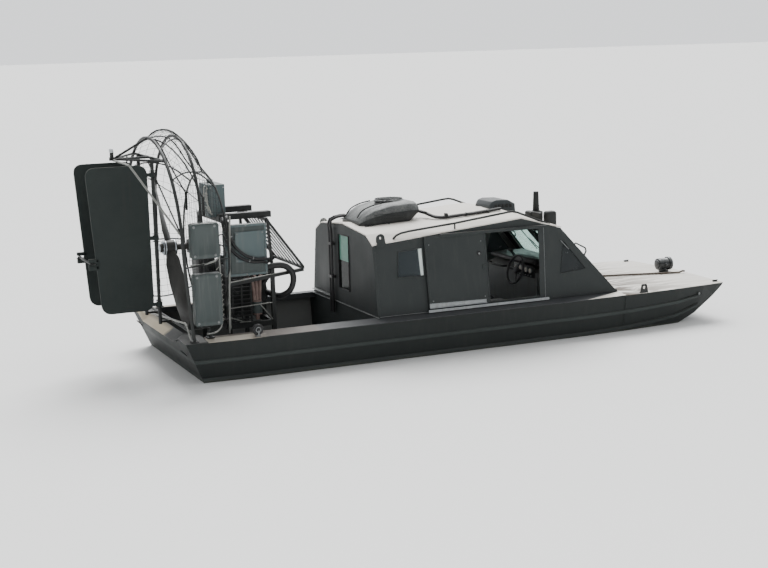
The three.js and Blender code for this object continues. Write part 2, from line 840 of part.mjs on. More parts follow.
// The pole lies across the deck in two clips, its hooked end forward
const poleAxis = 648;
const poleFrom = [5790, -30];
const poleTo = [6940, -335];
const poleShare = (share) => [0, 1].map((axis) => poleFrom[axis] + (poleTo[axis] - poleFrom[axis]) * share);
const pole = join([
  pipe([
    [...poleFrom, poleAxis],
    [...poleShare(0.45), poleAxis],
    [...poleShare(0.86), poleAxis],
    [...poleShare(0.95), poleAxis + 22],
    [...poleTo, poleAxis + 46],
  ], 14, 24),
  ...[0.12, 0.8].map((share) => {
    const [x, y] = poleShare(share);
    const clip = box([x - 15, y - 22, foredeckTop(x, y) - 3], [x + 15, y + 22, poleAxis + 4]);
    return cut(clip, [foredeckRaised]);
  }),
]);
addPart('bow_pole', pole, 'darkMetal');

// Engine stand: a tube frame on the well's floor, its top planks and its sloping front guard

const frameHalf = 500;
const uprightAft = 690;
const uprightFore = 1215;
const plankHeight = 1812;
const plankHalf = 340;
const guardTop = [1170, 1771];
const guardFoot = [1588, 1200];
const standTube = 44;
const bedHeight = 600;

const standBars = [-1, 1].flatMap((side) => {
  const y = side * frameHalf;
  return [
    [[uprightAft, y, floorTop + gap], [uprightAft, y, plankHeight - 20], standTube, standTube],
    [[uprightFore, y, floorTop + gap], [uprightFore, y, 1260], standTube, standTube],
    [[uprightAft, y, 1070], [guardFoot[0], y, 1070 + 100], 36, 36],
    [[uprightAft, y, bedHeight], [uprightFore, y, bedHeight], 40, 60],
    [[400, side * plankHalf, plankHeight], [1262, side * plankHalf, plankHeight], 90, 60],
    [[guardTop[0], y, guardTop[1]], [guardFoot[0], y, guardFoot[1]], 26, 26],
    [[uprightFore, y, 1240], [guardTop[0] + 10, y, guardTop[1]], 30, 30],
    [[uprightFore, y, 300], [1500, y, floorTop + 20 + gap], 36, 36],
  ];
}).map(([from, to, width, height]) => beam(from, to, width, height));
const crossBars = [
  [uprightAft, bedHeight, 60],
  [uprightFore, bedHeight, 60],
  [uprightAft, 1780, 44],
  [guardTop[0], guardTop[1], 36],
  [guardFoot[0], guardFoot[1] - 10, 30],
].map(([x, z, width]) => beam([x, -frameHalf, z], [x, frameHalf, z], width, width));
const guardSlats = [-375, -250, -125, 0, 125, 250, 375].map((y) => rod(
  [guardTop[0], y, guardTop[1]],
  [guardFoot[0], y, guardFoot[1] - 10],
  8,
  6,
));
addPart('engine_stand', join([...standBars, ...crossBars, ...guardSlats]), 'darkMetal');

// Engine: the block on the stand's cross bars, two banks of cylinders, and a drive housing

const bedTop = bedHeight + 30 + gap;
const bank = (side) => {
  const cover = new THREE.BoxGeometry(560, 190, 150);
  cover.rotateX(side * -0.75);
  return placed(cover, 960, side * -250, 1130);
};
const engineBlock = join([
  box([690, -170, bedTop], [1240, 170, 1040]),
  box([700, -230, bedTop + 240], [1230, 230, 1080]),
  bank(1),
  bank(-1),
  box([760, -120, 1060], [1180, 120, 1260]),
  rod([880, 0, 1240], [880, 0, 1330], 110, 14),
  rod([1235, 0, 860], [1290, 0, 860], 100, 16),
  rod([1235, 150, 1010], [1280, 150, 1010], 60, 12),
]);
addPart('engine', engineBlock, 'darkMetal');

const shaftRadius = 36;
const shaftBore = placed(
  new THREE.CylinderGeometry(shaftRadius + 1, shaftRadius + 1, 200, 20).rotateZ(Math.PI / 2),
  480,
  0,
  shaftHeight,
);
const housing = cut(join([
  box([470, -150, 760], [660, 150, shaftHeight]),
  rod([470, 0, shaftHeight], [660, 0, shaftHeight], 150, 24),
  rod([390, 0, shaftHeight], [480, 0, shaftHeight], 78, 20),
  box([655, -120, 800], [690 - gap, 120, 1000]),
]), [shaftBore]);
addPart('drive_housing', housing, 'darkMetal');

// Exhausts: pipes down from each bank into a drum beside the bed
const exhaust = join([
  rod([1040, -445, 700], [1040, -445, 860], 52, 16),
  ...[-38, 0, 38].map((step) => pipe([
    [1040 + step * 2.2, -345, 1120],
    [1040 + step * 1.4, -420, 1100],
    [1040 + step, -445, 1000],
    [1040 + step * 0.8, -445, 850],
  ], 21, 6, 6)),
  rod([1040, -445, 640], [1040, -445, 705], 24, 10),
]);
const exhaustClear = cut(exhaust, [
  engineBlock,
  engineBlock.translate([0, -gap, 0]),
  beam([uprightAft, -frameHalf, bedHeight], [uprightFore, -frameHalf, bedHeight], 42, 62),
]);
addPair('exhaust', exhaustClear, 'rust');

const hoseArc = [
  [1130, -580, 1240],
  [1235, -585, 1258],
  [1345, -585, 1238],
  [1422, -585, 1160],
  [1432, -585, 1060],
  [1388, -580, 955],
  [1310, -510, 895],
  [1275, -300, 885],
  [1231, -190, 900],
];
addPart('radiator_hose', cut(pipe(hoseArc, 36, 26, 8), [engineBlock]), 'rubber');

const sideTank = join([
  box([640, -622, 1180], [1120, -530, 1750]),
  box([700, -632, 1225], [1060, -620, 1580]),
  box([uprightAft - 15, -531, 1300], [uprightAft + 15, -522 - gap, 1330]),
  box([uprightAft - 15, -531, 1640], [uprightAft + 15, -522 - gap, 1670]),
]);
addPart('side_tank', sideTank, 'greyBox');

const tankFoot = 1802 + gap;
const headerTank = join([
  box([610, -190, tankFoot], [800, 190, 2165]),
  rod([700, 60, 2160], [700, 60, 2190], 34, 14),
]);
addPart('header_tank', headerTank, 'greyBox');

// Cage: a wide rear hoop, a narrower hoop ahead of the propeller, a front ring and domed ribs

// A point on a hoop: a half ellipse on two legs that lean in to their feet on the deck
function hoopPoint(hoop, degrees) {
  const turn = THREE.MathUtils.degToRad(degrees);
  const [across, up] = [Math.cos(turn), Math.sin(turn)];
  const z = hoop.middle + hoop.rise * up;
  return up >= 0 ? [hoop.x, -hoop.halfWidth * across, z] : legPoint(hoop, -Math.sign(across), z);
}

function legPoint(hoop, side, z) {
  const share = (hoop.middle - z) / (hoop.middle - hoop.footHeight);
  const reach = hoop.halfWidth + (hoop.foot - hoop.halfWidth) * share;
  return [hoop.x + (hoop.footX - hoop.x) * share, side * reach, z];
}

function hoopTube(hoop) {
  const points = [legPoint(hoop, -1, hoop.footHeight)];
  for (let degrees = 0; degrees <= 180; degrees += 15) points.push(hoopPoint(hoop, degrees));
  points.push(legPoint(hoop, 1, hoop.footHeight));
  return pipe(points, hoop.tube, 34, 6);
}

function ringPoint(degrees) {
  const turn = THREE.MathUtils.degToRad(degrees);
  const { x, halfWidth, rise } = frontRing;
  return [x, -halfWidth * Math.cos(turn), shaftHeight + rise * Math.sin(turn)];
}

// Ribs over the propeller from the rear hoop to the front ring, for the starboard side; the third
// is a stay inside the dome, down to a post on the engine stand's plank
const stayFoot = [498, -plankHalf, 2034];
const ribPaths = [
  [[0, -508, 2606], [130, -380, 2690], [292, -250, 2694], [400, -222, 2570], [500, -230, 2400],
    ringPoint(75)],
  [[0, -915, 2312], [146, -830, 2372], [292, -705, 2368], [430, -600, 2310], ringPoint(56)],
  [[0, -30, 2712], [130, -150, 2665], [240, -290, 2540], [330, -380, 2380], stayFoot],
  [[6, -1232, 1420], [150, -1178, 1424], [292, -1090, 1428], [450, -985, 1440], ringPoint(-3)],
  [[84, -1144, 748], [230, -1110, 742], [330, -1010, 746], [450, -860, 790], ringPoint(-44)],
];
const sideRibs = ribPaths.map((points) => pipe(points, ribTube, 9, 5));
const diagonal = rod([0, -925, 2330], [430, -500, 2000], 5, 5);
const stayPost = rod([498, -plankHalf, plankHeight + 30 + gap], [498, -plankHalf, 2054], 16, 8);
const starboardRibs = join([...sideRibs, diagonal, stayPost]);
const crownRib = pipe([
  [0, 0, 2714],
  [60, 0, 2772],
  [160, 0, 2798],
  [258, 0, 2781],
  [350, 0, 2715],
  [463, 0, 2590],
  [560, 0, 2430],
  ringPoint(90),
], ribTube, 14, 5);
const ring = new THREE.TorusGeometry(1, frontRing.tube / frontRing.halfWidth, 5, 32);
ring.scale(frontRing.halfWidth, frontRing.rise, frontRing.halfWidth);
ring.rotateZ(Math.PI / 2);
ring.rotateY(Math.PI / 2);
const hoopFeet = [rearHoop, midHoop].flatMap((hoop) => [-1, 1].map((side) => box(
  [hoop.footX - 40, side * hoop.foot - 40, hoop.footHeight - 4],
  [hoop.footX + 40, side * hoop.foot + 40, hoop.footHeight + 4],
)));
addPart('cage', join([
  hoopTube(rearHoop),
  hoopTube(midHoop),
  placed(ring, frontRing.x, 0, shaftHeight),
  crownRib,
  starboardRibs,
  mirrored(starboardRibs),
  ...hoopFeet,
]), 'darkMetal');

// Boxes on the starboard side of the cage, on brackets off the mid hoop's leg

function sideBox(aft, low, high) {
  const [outer, inner] = [-1205, -1092];
  const bevel = 14;
  const fore = 402;
  const outline = [
    [aft, low + bevel],
    [aft + bevel, low],
    [fore - bevel, low],
    [fore, low + bevel],
    [fore, high - bevel],
    [fore - bevel, high],
    [aft + bevel, high],
    [aft, high - bevel],
  ];
  const brackets = [low + 60, high - 90].map((z) => {
    const leg = legPoint(midHoop, -1, z + 15)[1] - midHoop.tube;
    return box([midHoop.x - 20, inner - 2, z], [midHoop.x + 24, leg + 8, z + 30]);
  });
  return join([plateAlongY(outline, outer, inner), ...brackets]);
}

const hoopClear = hoopTube({ ...midHoop, tube: midHoop.tube + 0.4 });
addPart('side_box_upper', cut(sideBox(98, 1500, 1868), [hoopClear]), 'greyBox');
addPart('side_box_lower', cut(sideBox(107, 780, 1335), [hoopClear]), 'greyBox');

// Propeller: two twisted blades on a hub, and the shaft into the drive housing

// Columns: distance from the axis, chord, thickness, pitch in degrees
const bladeSections = [
  [55, 110, 60, 48],
  [180, 190, 42, 40],
  [400, 250, 26, 28],
  [680, 250, 18, 20],
  [900, 190, 12, 15],
  [propRadius, 90, 6, 13],
].map(([reach, chord, thickness, pitch]) => ({ reach, chord, thickness, pitch }));

function bladeSection({ reach, chord, thickness, pitch }) {
  const turn = THREE.MathUtils.degToRad(pitch);
  const outline = [
    [-0.5, 0],
    [-0.2, -0.5],
    [0.3, -0.4],
    [0.5, 0],
    [0.3, 0.4],
    [-0.2, 0.5],
  ];
  return outline.map(([along, across]) => {
    const [c, t] = [along * chord, across * thickness];
    return [c * Math.sin(turn) + t * Math.cos(turn), c * Math.cos(turn) - t * Math.sin(turn), reach];
  });
}

const blade = loft(bladeSections.map(bladeSection));
const hub = join([
  rod([-70, 0, 0], [75, 0, 0], 82, 24),
  rod([-110, 0, 0], [-65, 0, 0], 50, 20),
  rod([70, 0, 0], [240, 0, 0], shaftRadius, 20),
]);
const propeller = join([hub, blade, blade.rotate([180, 0, 0])])
  .rotate([-propLean, 0, 0])
  .translate([propStation, 0, shaftHeight]);
addPart('propeller', propeller, 'darkMetal');

// Rudder frame: two posts between cross bars on the rear hoop, a top bar and two stays

const lowBar = 700;
const highBar = 2500;
const apex = -400;
const apexLight = -415;

const highHalf = rearHoop.halfWidth * Math.sqrt(1 - ((highBar - shaftHeight) / rearHoop.rise) ** 2);
const barEnds = { [lowBar]: legPoint(rearHoop, -1, lowBar), [highBar]: [rearHoop.x, -highHalf, highBar] };
const rudderBars = [lowBar, highBar].flatMap((z) => {
  const [x, y] = barEnds[z];
  return [
    rod([x, y, z], [x, -y, z], 15),
    ...[-1, 1].map((side) => rod([x, side * rudderSpread, z], [rudderPost, side * rudderSpread, z], 15)),
  ];
});
const posts = [-1, 1].map((side) => rod(
  [rudderPost, side * rudderSpread, lowBar - 25],
  [rudderPost, side * rudderSpread, highBar + 25],
  postTube,
  16,
));

// A V of tubes aft of the rear hoop carries the stern light, with a strut to the hoop's top
const lightFrame = [-1, 1].flatMap((side) => [
  rod([apex, 0, highBar], [rearHoop.x, side * highHalf, highBar], 13),
  rod([apex * 0.33, side * highHalf * 0.67, highBar], [rearHoop.x, side * 1208, 1745], 9, 6),
]);
const sternLight = [
  box([apexLight - 22, -24, highBar - 14], [apexLight + 30, 24, highBar + 20]),
  rod([apexLight + 4, 0, highBar], [apexLight + 4, 0, highBar + 80], 22, 12),
  rod([apex, 0, highBar], [rearHoop.x, 0, shaftHeight + rearHoop.rise], 13),
  rod([apex, 0, highBar], [rearHoop.x, 0, highBar], 13),
];
const hoopCut = hoopTube({ ...rearHoop, tube: rearHoop.tube + 0.4 });
const rudderFrame = cut(join([...rudderBars, ...posts, ...lightFrame, ...sternLight]), [hoopCut]);
addPart('rudder_frame', rudderFrame, 'darkMetal');

// Rudders: flat blades with rounded corners, each on three knuckles around its post

function roundedOutline(corners, radius) {
  const outline = [];
  corners.forEach(([x, z], i) => {
    const before = corners[(i + corners.length - 1) % corners.length];
    const after = corners[(i + 1) % corners.length];
    const corner = new THREE.Vector2(x, z);
    const start = corner.clone().add(new THREE.Vector2(...before).sub(corner).setLength(radius));
    const end = corner.clone().add(new THREE.Vector2(...after).sub(corner).setLength(radius));
    const arc = new THREE.QuadraticBezierCurve(start, corner, end);
    for (const point of arc.getPoints(5)) outline.push([point.x, point.y]);
  });
  return outline;
}

const rudderAhead = -108;
const rudderThickness = 26;
const tieHeight = 1400;
const tieStation = -770;
const tiePin = 8;
const rudderOutline = roundedOutline([
  [rudderAhead, rudderLow],
  [rudderAhead, rudderHigh],
  [-785, rudderHigh],
  [-680, rudderLow],
], 110);
const knuckleHeights = [900, 1640, 2330];
const knuckleHalf = 25;

function rudder(y) {
  const knuckles = knuckleHeights.flatMap((z) => [
    rod([rudderPost, y, z - knuckleHalf], [rudderPost, y, z + knuckleHalf], postTube + 14, 16),
    box([rudderAhead - 60, y - 12, z - 18], [rudderPost, y + 12, z + 18]),
  ]);
  const bore = rod([rudderPost, y, 0], [rudderPost, y, 3000], postTube + 1, 16);
  const tieLug = join([
    box([-sternReach, y - 28, tieHeight - 12], [-690, y + 28, tieHeight]),
    rod([tieStation, y, tieHeight - 6], [tieStation, y, tieHeight + 20], tiePin, 12),
  ]);
  const blade = plateAlongY(rudderOutline, y - rudderThickness / 2, y + rudderThickness / 2);
  return cut(join([blade, ...knuckles, tieLug]), [bore]);
}

addPart('rudder_starboard', rudder(-rudderSpread), 'hullPaint');
addPart('rudder_port', rudder(rudderSpread), 'hullPaint');

// The tie rod lies on both rudders' lugs, over their pins; its starboard eye is the looser one
const tieLow = tieHeight + gap;
const tieHigh = tieHeight + 13;
const tieEye = (side, extra, radius, sides) => {
  const y = side * rudderSpread;
  return rod([tieStation, y, tieLow - extra], [tieStation, y, tieHigh + extra], radius, sides);
};
const tieRod = cut(join([
  box([tieStation - 14, -rudderSpread, tieLow], [tieStation + 14, rudderSpread, tieHigh]),
  tieEye(-1, 0, 22, 14),
  tieEye(1, 0, 22, 14),
]), [tieEye(1, 10, tiePin + 1, 12), tieEye(-1, 10, tiePin + 3, 12)]);
addPart('tie_rod', tieRod, 'bareMetal');

// Cabin fittings

const consoleSection = (y) => [
  [4560, y, floorTop + gap],
  [5060, y, floorTop + gap],
  [5060, y, 820],
  [4820, y, 960],
  [4560, y, 860],
];
addPart('helm_console', loft([-620, 620].map(consoleSection)), 'darkMetal');

function seat(x, width, y) {
  return join([
    box([x - 190, y - width / 2 + 60, floorTop + gap], [x + 170, y + width / 2 - 60, 420]),
    box([x - 230, y - width / 2, 400], [x + 230, y + width / 2, 510]),
    beam([x - 190, y, 480], [x - 270, y, 1020], width - 20, 90),
  ]);
}

addPart('helm_seat', seat(4150, 520, -330), 'seatCloth');
addPart('mate_seat', seat(4150, 520, 330), 'seatCloth');
addPart('bench_seat', seat(2900, 1500, 0), 'seatCloth');

// Origin under the middle of the boat's length
const whole = new THREE.Group();
boat.position.x = -(hullLength - sternReach) / 2;
whole.add(boat);

export default whole;
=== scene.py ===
import json
import math

import bpy
from mathutils import Matrix, Vector


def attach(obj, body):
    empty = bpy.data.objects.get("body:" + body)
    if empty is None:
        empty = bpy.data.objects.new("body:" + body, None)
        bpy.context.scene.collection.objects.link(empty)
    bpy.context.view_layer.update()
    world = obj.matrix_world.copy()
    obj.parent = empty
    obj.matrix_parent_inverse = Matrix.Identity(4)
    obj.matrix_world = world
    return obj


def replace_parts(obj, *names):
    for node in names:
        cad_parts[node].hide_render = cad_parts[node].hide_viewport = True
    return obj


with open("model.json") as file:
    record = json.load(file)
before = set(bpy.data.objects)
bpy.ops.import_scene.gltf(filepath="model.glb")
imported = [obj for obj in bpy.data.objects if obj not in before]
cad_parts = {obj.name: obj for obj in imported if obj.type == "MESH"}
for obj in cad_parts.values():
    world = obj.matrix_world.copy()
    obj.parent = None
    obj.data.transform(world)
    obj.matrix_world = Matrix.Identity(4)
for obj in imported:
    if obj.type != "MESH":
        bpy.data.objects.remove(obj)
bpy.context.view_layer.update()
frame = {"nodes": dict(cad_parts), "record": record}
nodes = frame["nodes"]
print("frame loaded,", len(nodes), "CAD nodes")

station = 3.1  # stations run forward from the transom, the origin lies 3.1 m ahead of it
waterHeight = 0.14
bothSides = ((-1, 'starboard'), (1, 'port'))


# Places given by their stations, and angles evenly round a circle

def at(x, y, z):
    return (x - station, y, z)


def ahead(points):
    return [at(*point) for point in points]


def turns(step, count):
    return [math.radians(step * i) for i in range(count)]


# Selecting and finishing

def selectOnly(*objs):
    if bpy.context.object and bpy.context.object.mode != 'OBJECT':
        bpy.ops.object.mode_set(mode='OBJECT')
    bpy.ops.object.select_all(action='DESELECT')
    for obj in objs:
        obj.select_set(True)
    bpy.context.view_layer.objects.active = objs[0] if objs else None


def editAll(obj):
    selectOnly(obj)
    bpy.ops.object.mode_set(mode='EDIT')
    bpy.ops.mesh.select_all(action='SELECT')


def leaveEdit():
    bpy.ops.object.mode_set(mode='OBJECT')


def applyPlace(obj):
    selectOnly(obj)
    bpy.ops.object.transform_apply(location=True, rotation=True, scale=True)


def applyModifiers(obj):
    selectOnly(obj)
    for modifier in list(obj.modifiers):
        bpy.ops.object.modifier_apply(modifier=modifier.name)


# Adds a modifier with its settings and applies it
def modified(obj, kind, **settings):
    modifier = obj.modifiers.new('step', kind)
    for key, value in settings.items():
        setattr(modifier, key, value)
    applyModifiers(obj)
    return obj


def smoothBy(obj, degrees):
    selectOnly(obj)
    bpy.ops.object.shade_smooth_by_angle(angle=math.radians(degrees))


def bevelEdges(obj, width, segments=2, degrees=30):
    modified(obj, 'BEVEL', width=width, segments=segments, limit_method='ANGLE', angle_limit=math.radians(degrees))


def joinAll(name, objs):
    selectOnly(*objs)
    if len(objs) > 1:
        bpy.ops.object.join()
    made = bpy.context.object
    made.name = name
    made.data.name = name
    return made


def dress(obj, material, body='boat'):
    obj.data.materials.clear()
    obj.data.materials.append(material)
    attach(obj, body)
    return obj


def piece(name, objs, material, body='boat'):
    return dress(joinAll(name, objs), material, body)


# A CAD node's mesh again, merged, with rounded edges
def smoothCopy(node, name, degrees=40, bevel=0.0, segments=2, merge=0.0002):
    made = bpy.data.objects.new(name, nodes[node].data.copy())
    bpy.context.scene.collection.objects.link(made)
    selectOnly(made)
    bpy.ops.mesh.customdata_custom_splitnormals_clear()
    editAll(made)
    bpy.ops.mesh.remove_doubles(threshold=merge)
    bpy.ops.mesh.dissolve_limited(angle_limit=math.radians(0.6))
    leaveEdit()
    if bevel:
        bevelEdges(made, bevel, segments, 28)
    smoothBy(made, degrees)
    return made


def renewed(node, name, material, *form, body='boat', slot=None):
    made = dress(smoothCopy(node, name, *form), material, body)
    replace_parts(made, node)


# Shader steps

def put(tree, kind, settings=None, inputs=None):
    made = tree.nodes.new('ShaderNode' + kind)
    for key, value in (settings or {}).items():
        setattr(made, key, value)
    for key, value in (inputs or {}).items():
        if isinstance(value, bpy.types.NodeSocket):
            tree.links.new(value, made.inputs[key])
        else:
            made.inputs[key].default_value = value
    return made


def ramp(tree, source, low, high):
    return put(tree, 'MapRange', {'clamp': True}, {'Value': source, 'From Min': low, 'From Max': high}).outputs[0]


def mixValue(tree, share, a, b):
    return put(tree, 'MapRange', None, {'Value': share, 'To Min': a, 'To Max': b}).outputs[0]


def calc(tree, operation, *terms, clamp=False):
    return put(tree, 'Math', {'operation': operation, 'use_clamp': clamp}, dict(enumerate(terms))).outputs[0]


def times(tree, a, b):
    return calc(tree, 'MULTIPLY', a, b)


def plus(tree, a, b):
    return calc(tree, 'ADD', a, b, clamp=True)


def vector(tree, operation, *terms):
    return put(tree, 'VectorMath', {'operation': operation}, dict(enumerate(terms))).outputs


def noise(tree, place, scale, detail, rough=0.5, out='Fac'):
    return put(tree, 'TexNoise', None, {
        'Vector': place, 'Scale': scale, 'Detail': detail, 'Roughness': rough}).outputs[out]


def stretched(tree, place, scale):
    return put(tree, 'Mapping', None, {'Vector': place, 'Scale': scale}).outputs[0]


def objectPlace(tree):
    return put(tree, 'TexCoord').outputs['Object']


def parts(tree, source):
    return put(tree, 'SeparateXYZ', None, {0: source}).outputs


def facing(tree):
    return put(tree, 'NewGeometry').outputs['Normal']


def bumped(tree, shader, strength, distance, height, normal=None):
    given = {'Strength': strength, 'Distance': distance, 'Height': height}
    if normal is not None:
        given['Normal'] = normal
    tree.links.new(put(tree, 'Bump', None, given).outputs[0], shader.inputs['Normal'])


def mixColour(tree, share, a, b):
    made = put(tree, 'Mix', {'data_type': 'RGBA'})
    for socket, value in ((made.inputs[0], share), (made.inputs[6], a), (made.inputs[7], b)):
        if isinstance(value, bpy.types.NodeSocket):
            tree.links.new(value, socket)
        else:
            socket.default_value = value if isinstance(value, float) else (*value, 1.0)
    return made.outputs[2]


# Shader node groups that the painted and metal finishes share

def startGroup(name, inputs, outputs):
    group = bpy.data.node_groups.new(name, 'ShaderNodeTree')
    for label, value in inputs:
        group.interface.new_socket(label, in_out='INPUT', socket_type='NodeSocketFloat').default_value = value
    for label, kind in outputs:
        group.interface.new_socket(label, in_out='OUTPUT', socket_type='NodeSocket' + kind)
    return group, group.nodes.new('NodeGroupInput').outputs, group.nodes.new('NodeGroupOutput').inputs


def weatherGroup():
    group, given, result = startGroup(
        'weathering', [('Scale', 3.0), ('DustAndHighlight', 0.5), ('Streaks', 0.4)],
        [('Mottle', 'Float'), ('DustAndHighlight', 'Float'), ('Streaks', 'Float'), ('Grain', 'Float')])
    place = objectPlace(group)
    upward = parts(group, facing(group))['Z']
    mottle = noise(group, place, given['Scale'], 6.0, 0.62)
    cloudy = noise(group, place, 1.3, 4.0, 0.7)
    speck = noise(group, place, 46.0, 4.0, 0.7)
    runs = noise(group, stretched(group, place, (9.0, 9.0, 0.55)), 2.2, 5.0, 0.6)
    lying = ramp(group, upward, 0.25, 0.95)
    dustCloud = ramp(group, plus(group, times(group, cloudy, 0.6), times(group, speck, 0.4)), 0.36, 0.62)
    dustAndHighlight = times(group, times(group, lying, dustCloud), given['DustAndHighlight'])
    standing = ramp(group, calc(group, 'ABSOLUTE', upward), 0.75, 0.2)
    streaks = times(group, times(group, ramp(group, runs, 0.52, 0.72), standing), given['Streaks'])
    for label, socket in (
            ('Mottle', ramp(group, mottle, 0.3, 0.7)), ('DustAndHighlight', dustAndHighlight), ('Streaks', streaks), ('Grain', speck)):
        group.links.new(socket, result[label])
    return group


def edgeGroup():
    group, given, result = startGroup(
        'edgeWear', [('Radius', 0.004), ('Amount', 0.5)], [('Mask', 'Float'), ('Normal', 'Vector')])
    rounded = put(group, 'Bevel', {'samples': 4}, {'Radius': given['Radius']}).outputs[0]
    likeness = vector(group, 'DOT_PRODUCT', rounded, facing(group))['Value']
    edge = ramp(group, likeness, 0.995, 0.88)
    broken = noise(group, objectPlace(group), 24.0, 5.0, 0.75)
    mask = times(group, times(group, edge, ramp(group, broken, 0.42, 0.6)), given['Amount'])
    group.links.new(mask, result['Mask'])
    group.links.new(rounded, result['Normal'])
    return group


weathering = weatherGroup()
edgeWear = edgeGroup()


# Finishes

def startMaterial(name):
    material = bpy.data.materials.new(name)
    material.use_nodes = True
    tree = material.node_tree
    return material, tree, tree.nodes['Principled BSDF']


# Painted or plain metal with mottling, runs, dust on what faces up, and worn edges; on the pod and the searchlight
# the pale colour on what faces up is a painted highlight
def worn(name, look):
    material, tree, shader = startMaterial(name)
    weather = put(tree, 'Group', {'node_tree': weathering}, {
        'Scale': look['scale'], 'DustAndHighlight': look['dustAndHighlight'], 'Streaks': look.get('streaks', 0.4)}).outputs
    edge = put(tree, 'Group', {'node_tree': edgeWear}, {
        'Radius': look.get('radius', 0.004), 'Amount': look['wear']}).outputs
    colour = mixColour(tree, weather['Mottle'], look['colour'], look['second'])
    colour = mixColour(tree, weather['Streaks'], colour, look.get('streak', (0.1, 0.09, 0.08)))
    colour = mixColour(tree, weather['DustAndHighlight'], colour, look.get('dustAndHighlightColour', (0.3, 0.28, 0.24)))
    colour = mixColour(tree, edge['Mask'], colour, look.get('edge', (0.35, 0.36, 0.36)))
    if 'layer' in look:
        colour = look['layer'](tree, colour)
    tree.links.new(colour, shader.inputs['Base Color'])
    rough = plus(tree, mixValue(tree, weather['Mottle'], *look['rough']), times(tree, weather['DustAndHighlight'], 0.35))
    tree.links.new(rough, shader.inputs['Roughness'])
    shader.inputs['Metallic'].default_value = look.get('metal', 0.0)
    shader.inputs['Specular IOR Level'].default_value = look.get('gloss', 0.35)
    bumped(tree, shader, look.get('bump', 0.12), 0.002, weather['Grain'], edge['Normal'])
    return material


# A lighter lining on faces that look in towards the middle of the boat
def liningLayer(tree, colour):
    across = vector(tree, 'MULTIPLY', facing(tree), objectPlace(tree))[0]
    return mixColour(tree, ramp(tree, parts(tree, across)['Y'], -0.1, -0.3), colour, (0.17, 0.175, 0.17))


# Rubbed strakes, lighter than the side between them, and a scum line just over the water
def hullLayer(tree, colour):
    place = objectPlace(tree)
    split = parts(tree, place)
    rakeStart, rakeRun = 1.8, 2.1
    rise = put(tree, 'FloatCurve', None, {'Value': ramp(tree, split['X'], rakeStart, rakeStart + rakeRun)})
    curve = rise.mapping.curves[0]
    curve.points[0].location = (0.0, 0.0)
    for x, low in ((5.58, 0.022), (6.27, 0.1), (6.65, 0.24), (6.905, 0.43)):
        curve.points.new(((x - station) - rakeStart) / rakeRun, low)
    curve.points[-1].location = (1.0, 0.56)
    rise.mapping.update()
    low = rise.outputs[0]
    share = calc(tree, 'DIVIDE', calc(tree, 'SUBTRACT', split['Z'], low), calc(tree, 'SUBTRACT', 0.59, low))
    fade = ramp(tree, split['X'], 6.75 - station, 6.35 - station)
    bands = []
    for level in (0.29, 0.64):
        away = calc(tree, 'ABSOLUTE', calc(tree, 'SUBTRACT', share, level))
        bands.append(times(tree, ramp(tree, away, 0.044, 0.03), fade))
    scratch = noise(tree, stretched(tree, place, (1.0, 6.0, 14.0)), 5.0, 6.0, 0.7)
    rubbed = times(tree, plus(tree, *bands), mixValue(tree, ramp(tree, scratch, 0.35, 0.65), 0.72, 1.0))
    colour = mixColour(tree, rubbed, colour, (0.042, 0.05, 0.048))
    level = calc(tree, 'ADD', split['Z'], times(tree, noise(tree, place, 3.0, 5.0), 0.06))
    scum = times(tree, ramp(tree, level, 0.205, 0.18), ramp(tree, level, 0.1, 0.17))
    colour = mixColour(tree, times(tree, scum, 0.45), colour, (0.1, 0.105, 0.085))
    return liningLayer(tree, colour)


# Painted sun glare on the dark deck paint: tan on the aft side decks, bright beige on their aft outer lip, and the
# foredeck's pale painted glare running out in a wedge along their fore end
def deckLayer(tree, colour):
    place = objectPlace(tree)
    split = parts(tree, place)
    side = calc(tree, 'ABSOLUTE', split['Y'])
    cloud = noise(tree, place, 3.4, 6.0, 0.7)
    spot = calc(tree, 'ADD', split['X'], times(tree, cloud, 0.5))
    flat = times(tree, ramp(tree, parts(tree, facing(tree))['Z'], 0.5, 0.9), ramp(tree, side, 0.9, 0.97))
    paintedGlare = times(tree, ramp(tree, spot, 1.82 - station, 1.7 - station), flat)
    colour = mixColour(tree, times(tree, paintedGlare, 0.9), colour, (0.115, 0.098, 0.083))
    paintedLipGlare = times(tree, ramp(tree, spot, 1.15 - station, 0.95 - station), ramp(tree, side, 1.03, 1.06))
    colour = mixColour(tree, times(tree, paintedLipGlare, 0.9), colour, (0.44, 0.4, 0.33))
    reach = calc(tree, 'MULTIPLY_ADD', split['X'], 0.36, side)
    wedge = times(tree, ramp(tree, reach, 1.85, 1.862), times(tree, flat, ramp(tree, split['X'], 1.74, 1.8)))
    return mixColour(tree, wedge, colour, (0.66, 0.62, 0.56))


# Painted sun glare: beige on the stern's lip, but not at its starboard corner
def sternLayer(tree, colour):
    place = objectPlace(tree)
    split = parts(tree, place)
    spot = calc(tree, 'ADD', split['Y'], times(tree, noise(tree, place, 4.0, 6.0, 0.7), 0.36))
    pale = times(tree, ramp(tree, spot, -0.16, -0.02), ramp(tree, split['X'], 0.12 - station, 0.06 - station))
    return mixColour(tree, times(tree, pale, 0.95), colour, (0.52, 0.45, 0.33))


# Brown wavy streaks, thickest at the foot of the windscreen
def streakLayer(tree, colour):
    place = objectPlace(tree)
    bent = noise(tree, place, 1.7, 2.0, out='Color')
    moved = vector(tree, 'MULTIPLY_ADD', bent, (0.25, 0.45, 0.0), place)[0]
    lines = noise(tree, stretched(tree, moved, (0.9, 6.5, 1.0)), 1.6, 7.0, 0.6)
    near = ramp(tree, parts(tree, place)['X'], 3.5, 2.35)
    mask = times(tree, ramp(tree, lines, 0.43, 0.54), plus(tree, times(tree, near, 0.9), 0.12))
    return mixColour(tree, mask, colour, (0.13, 0.108, 0.09))


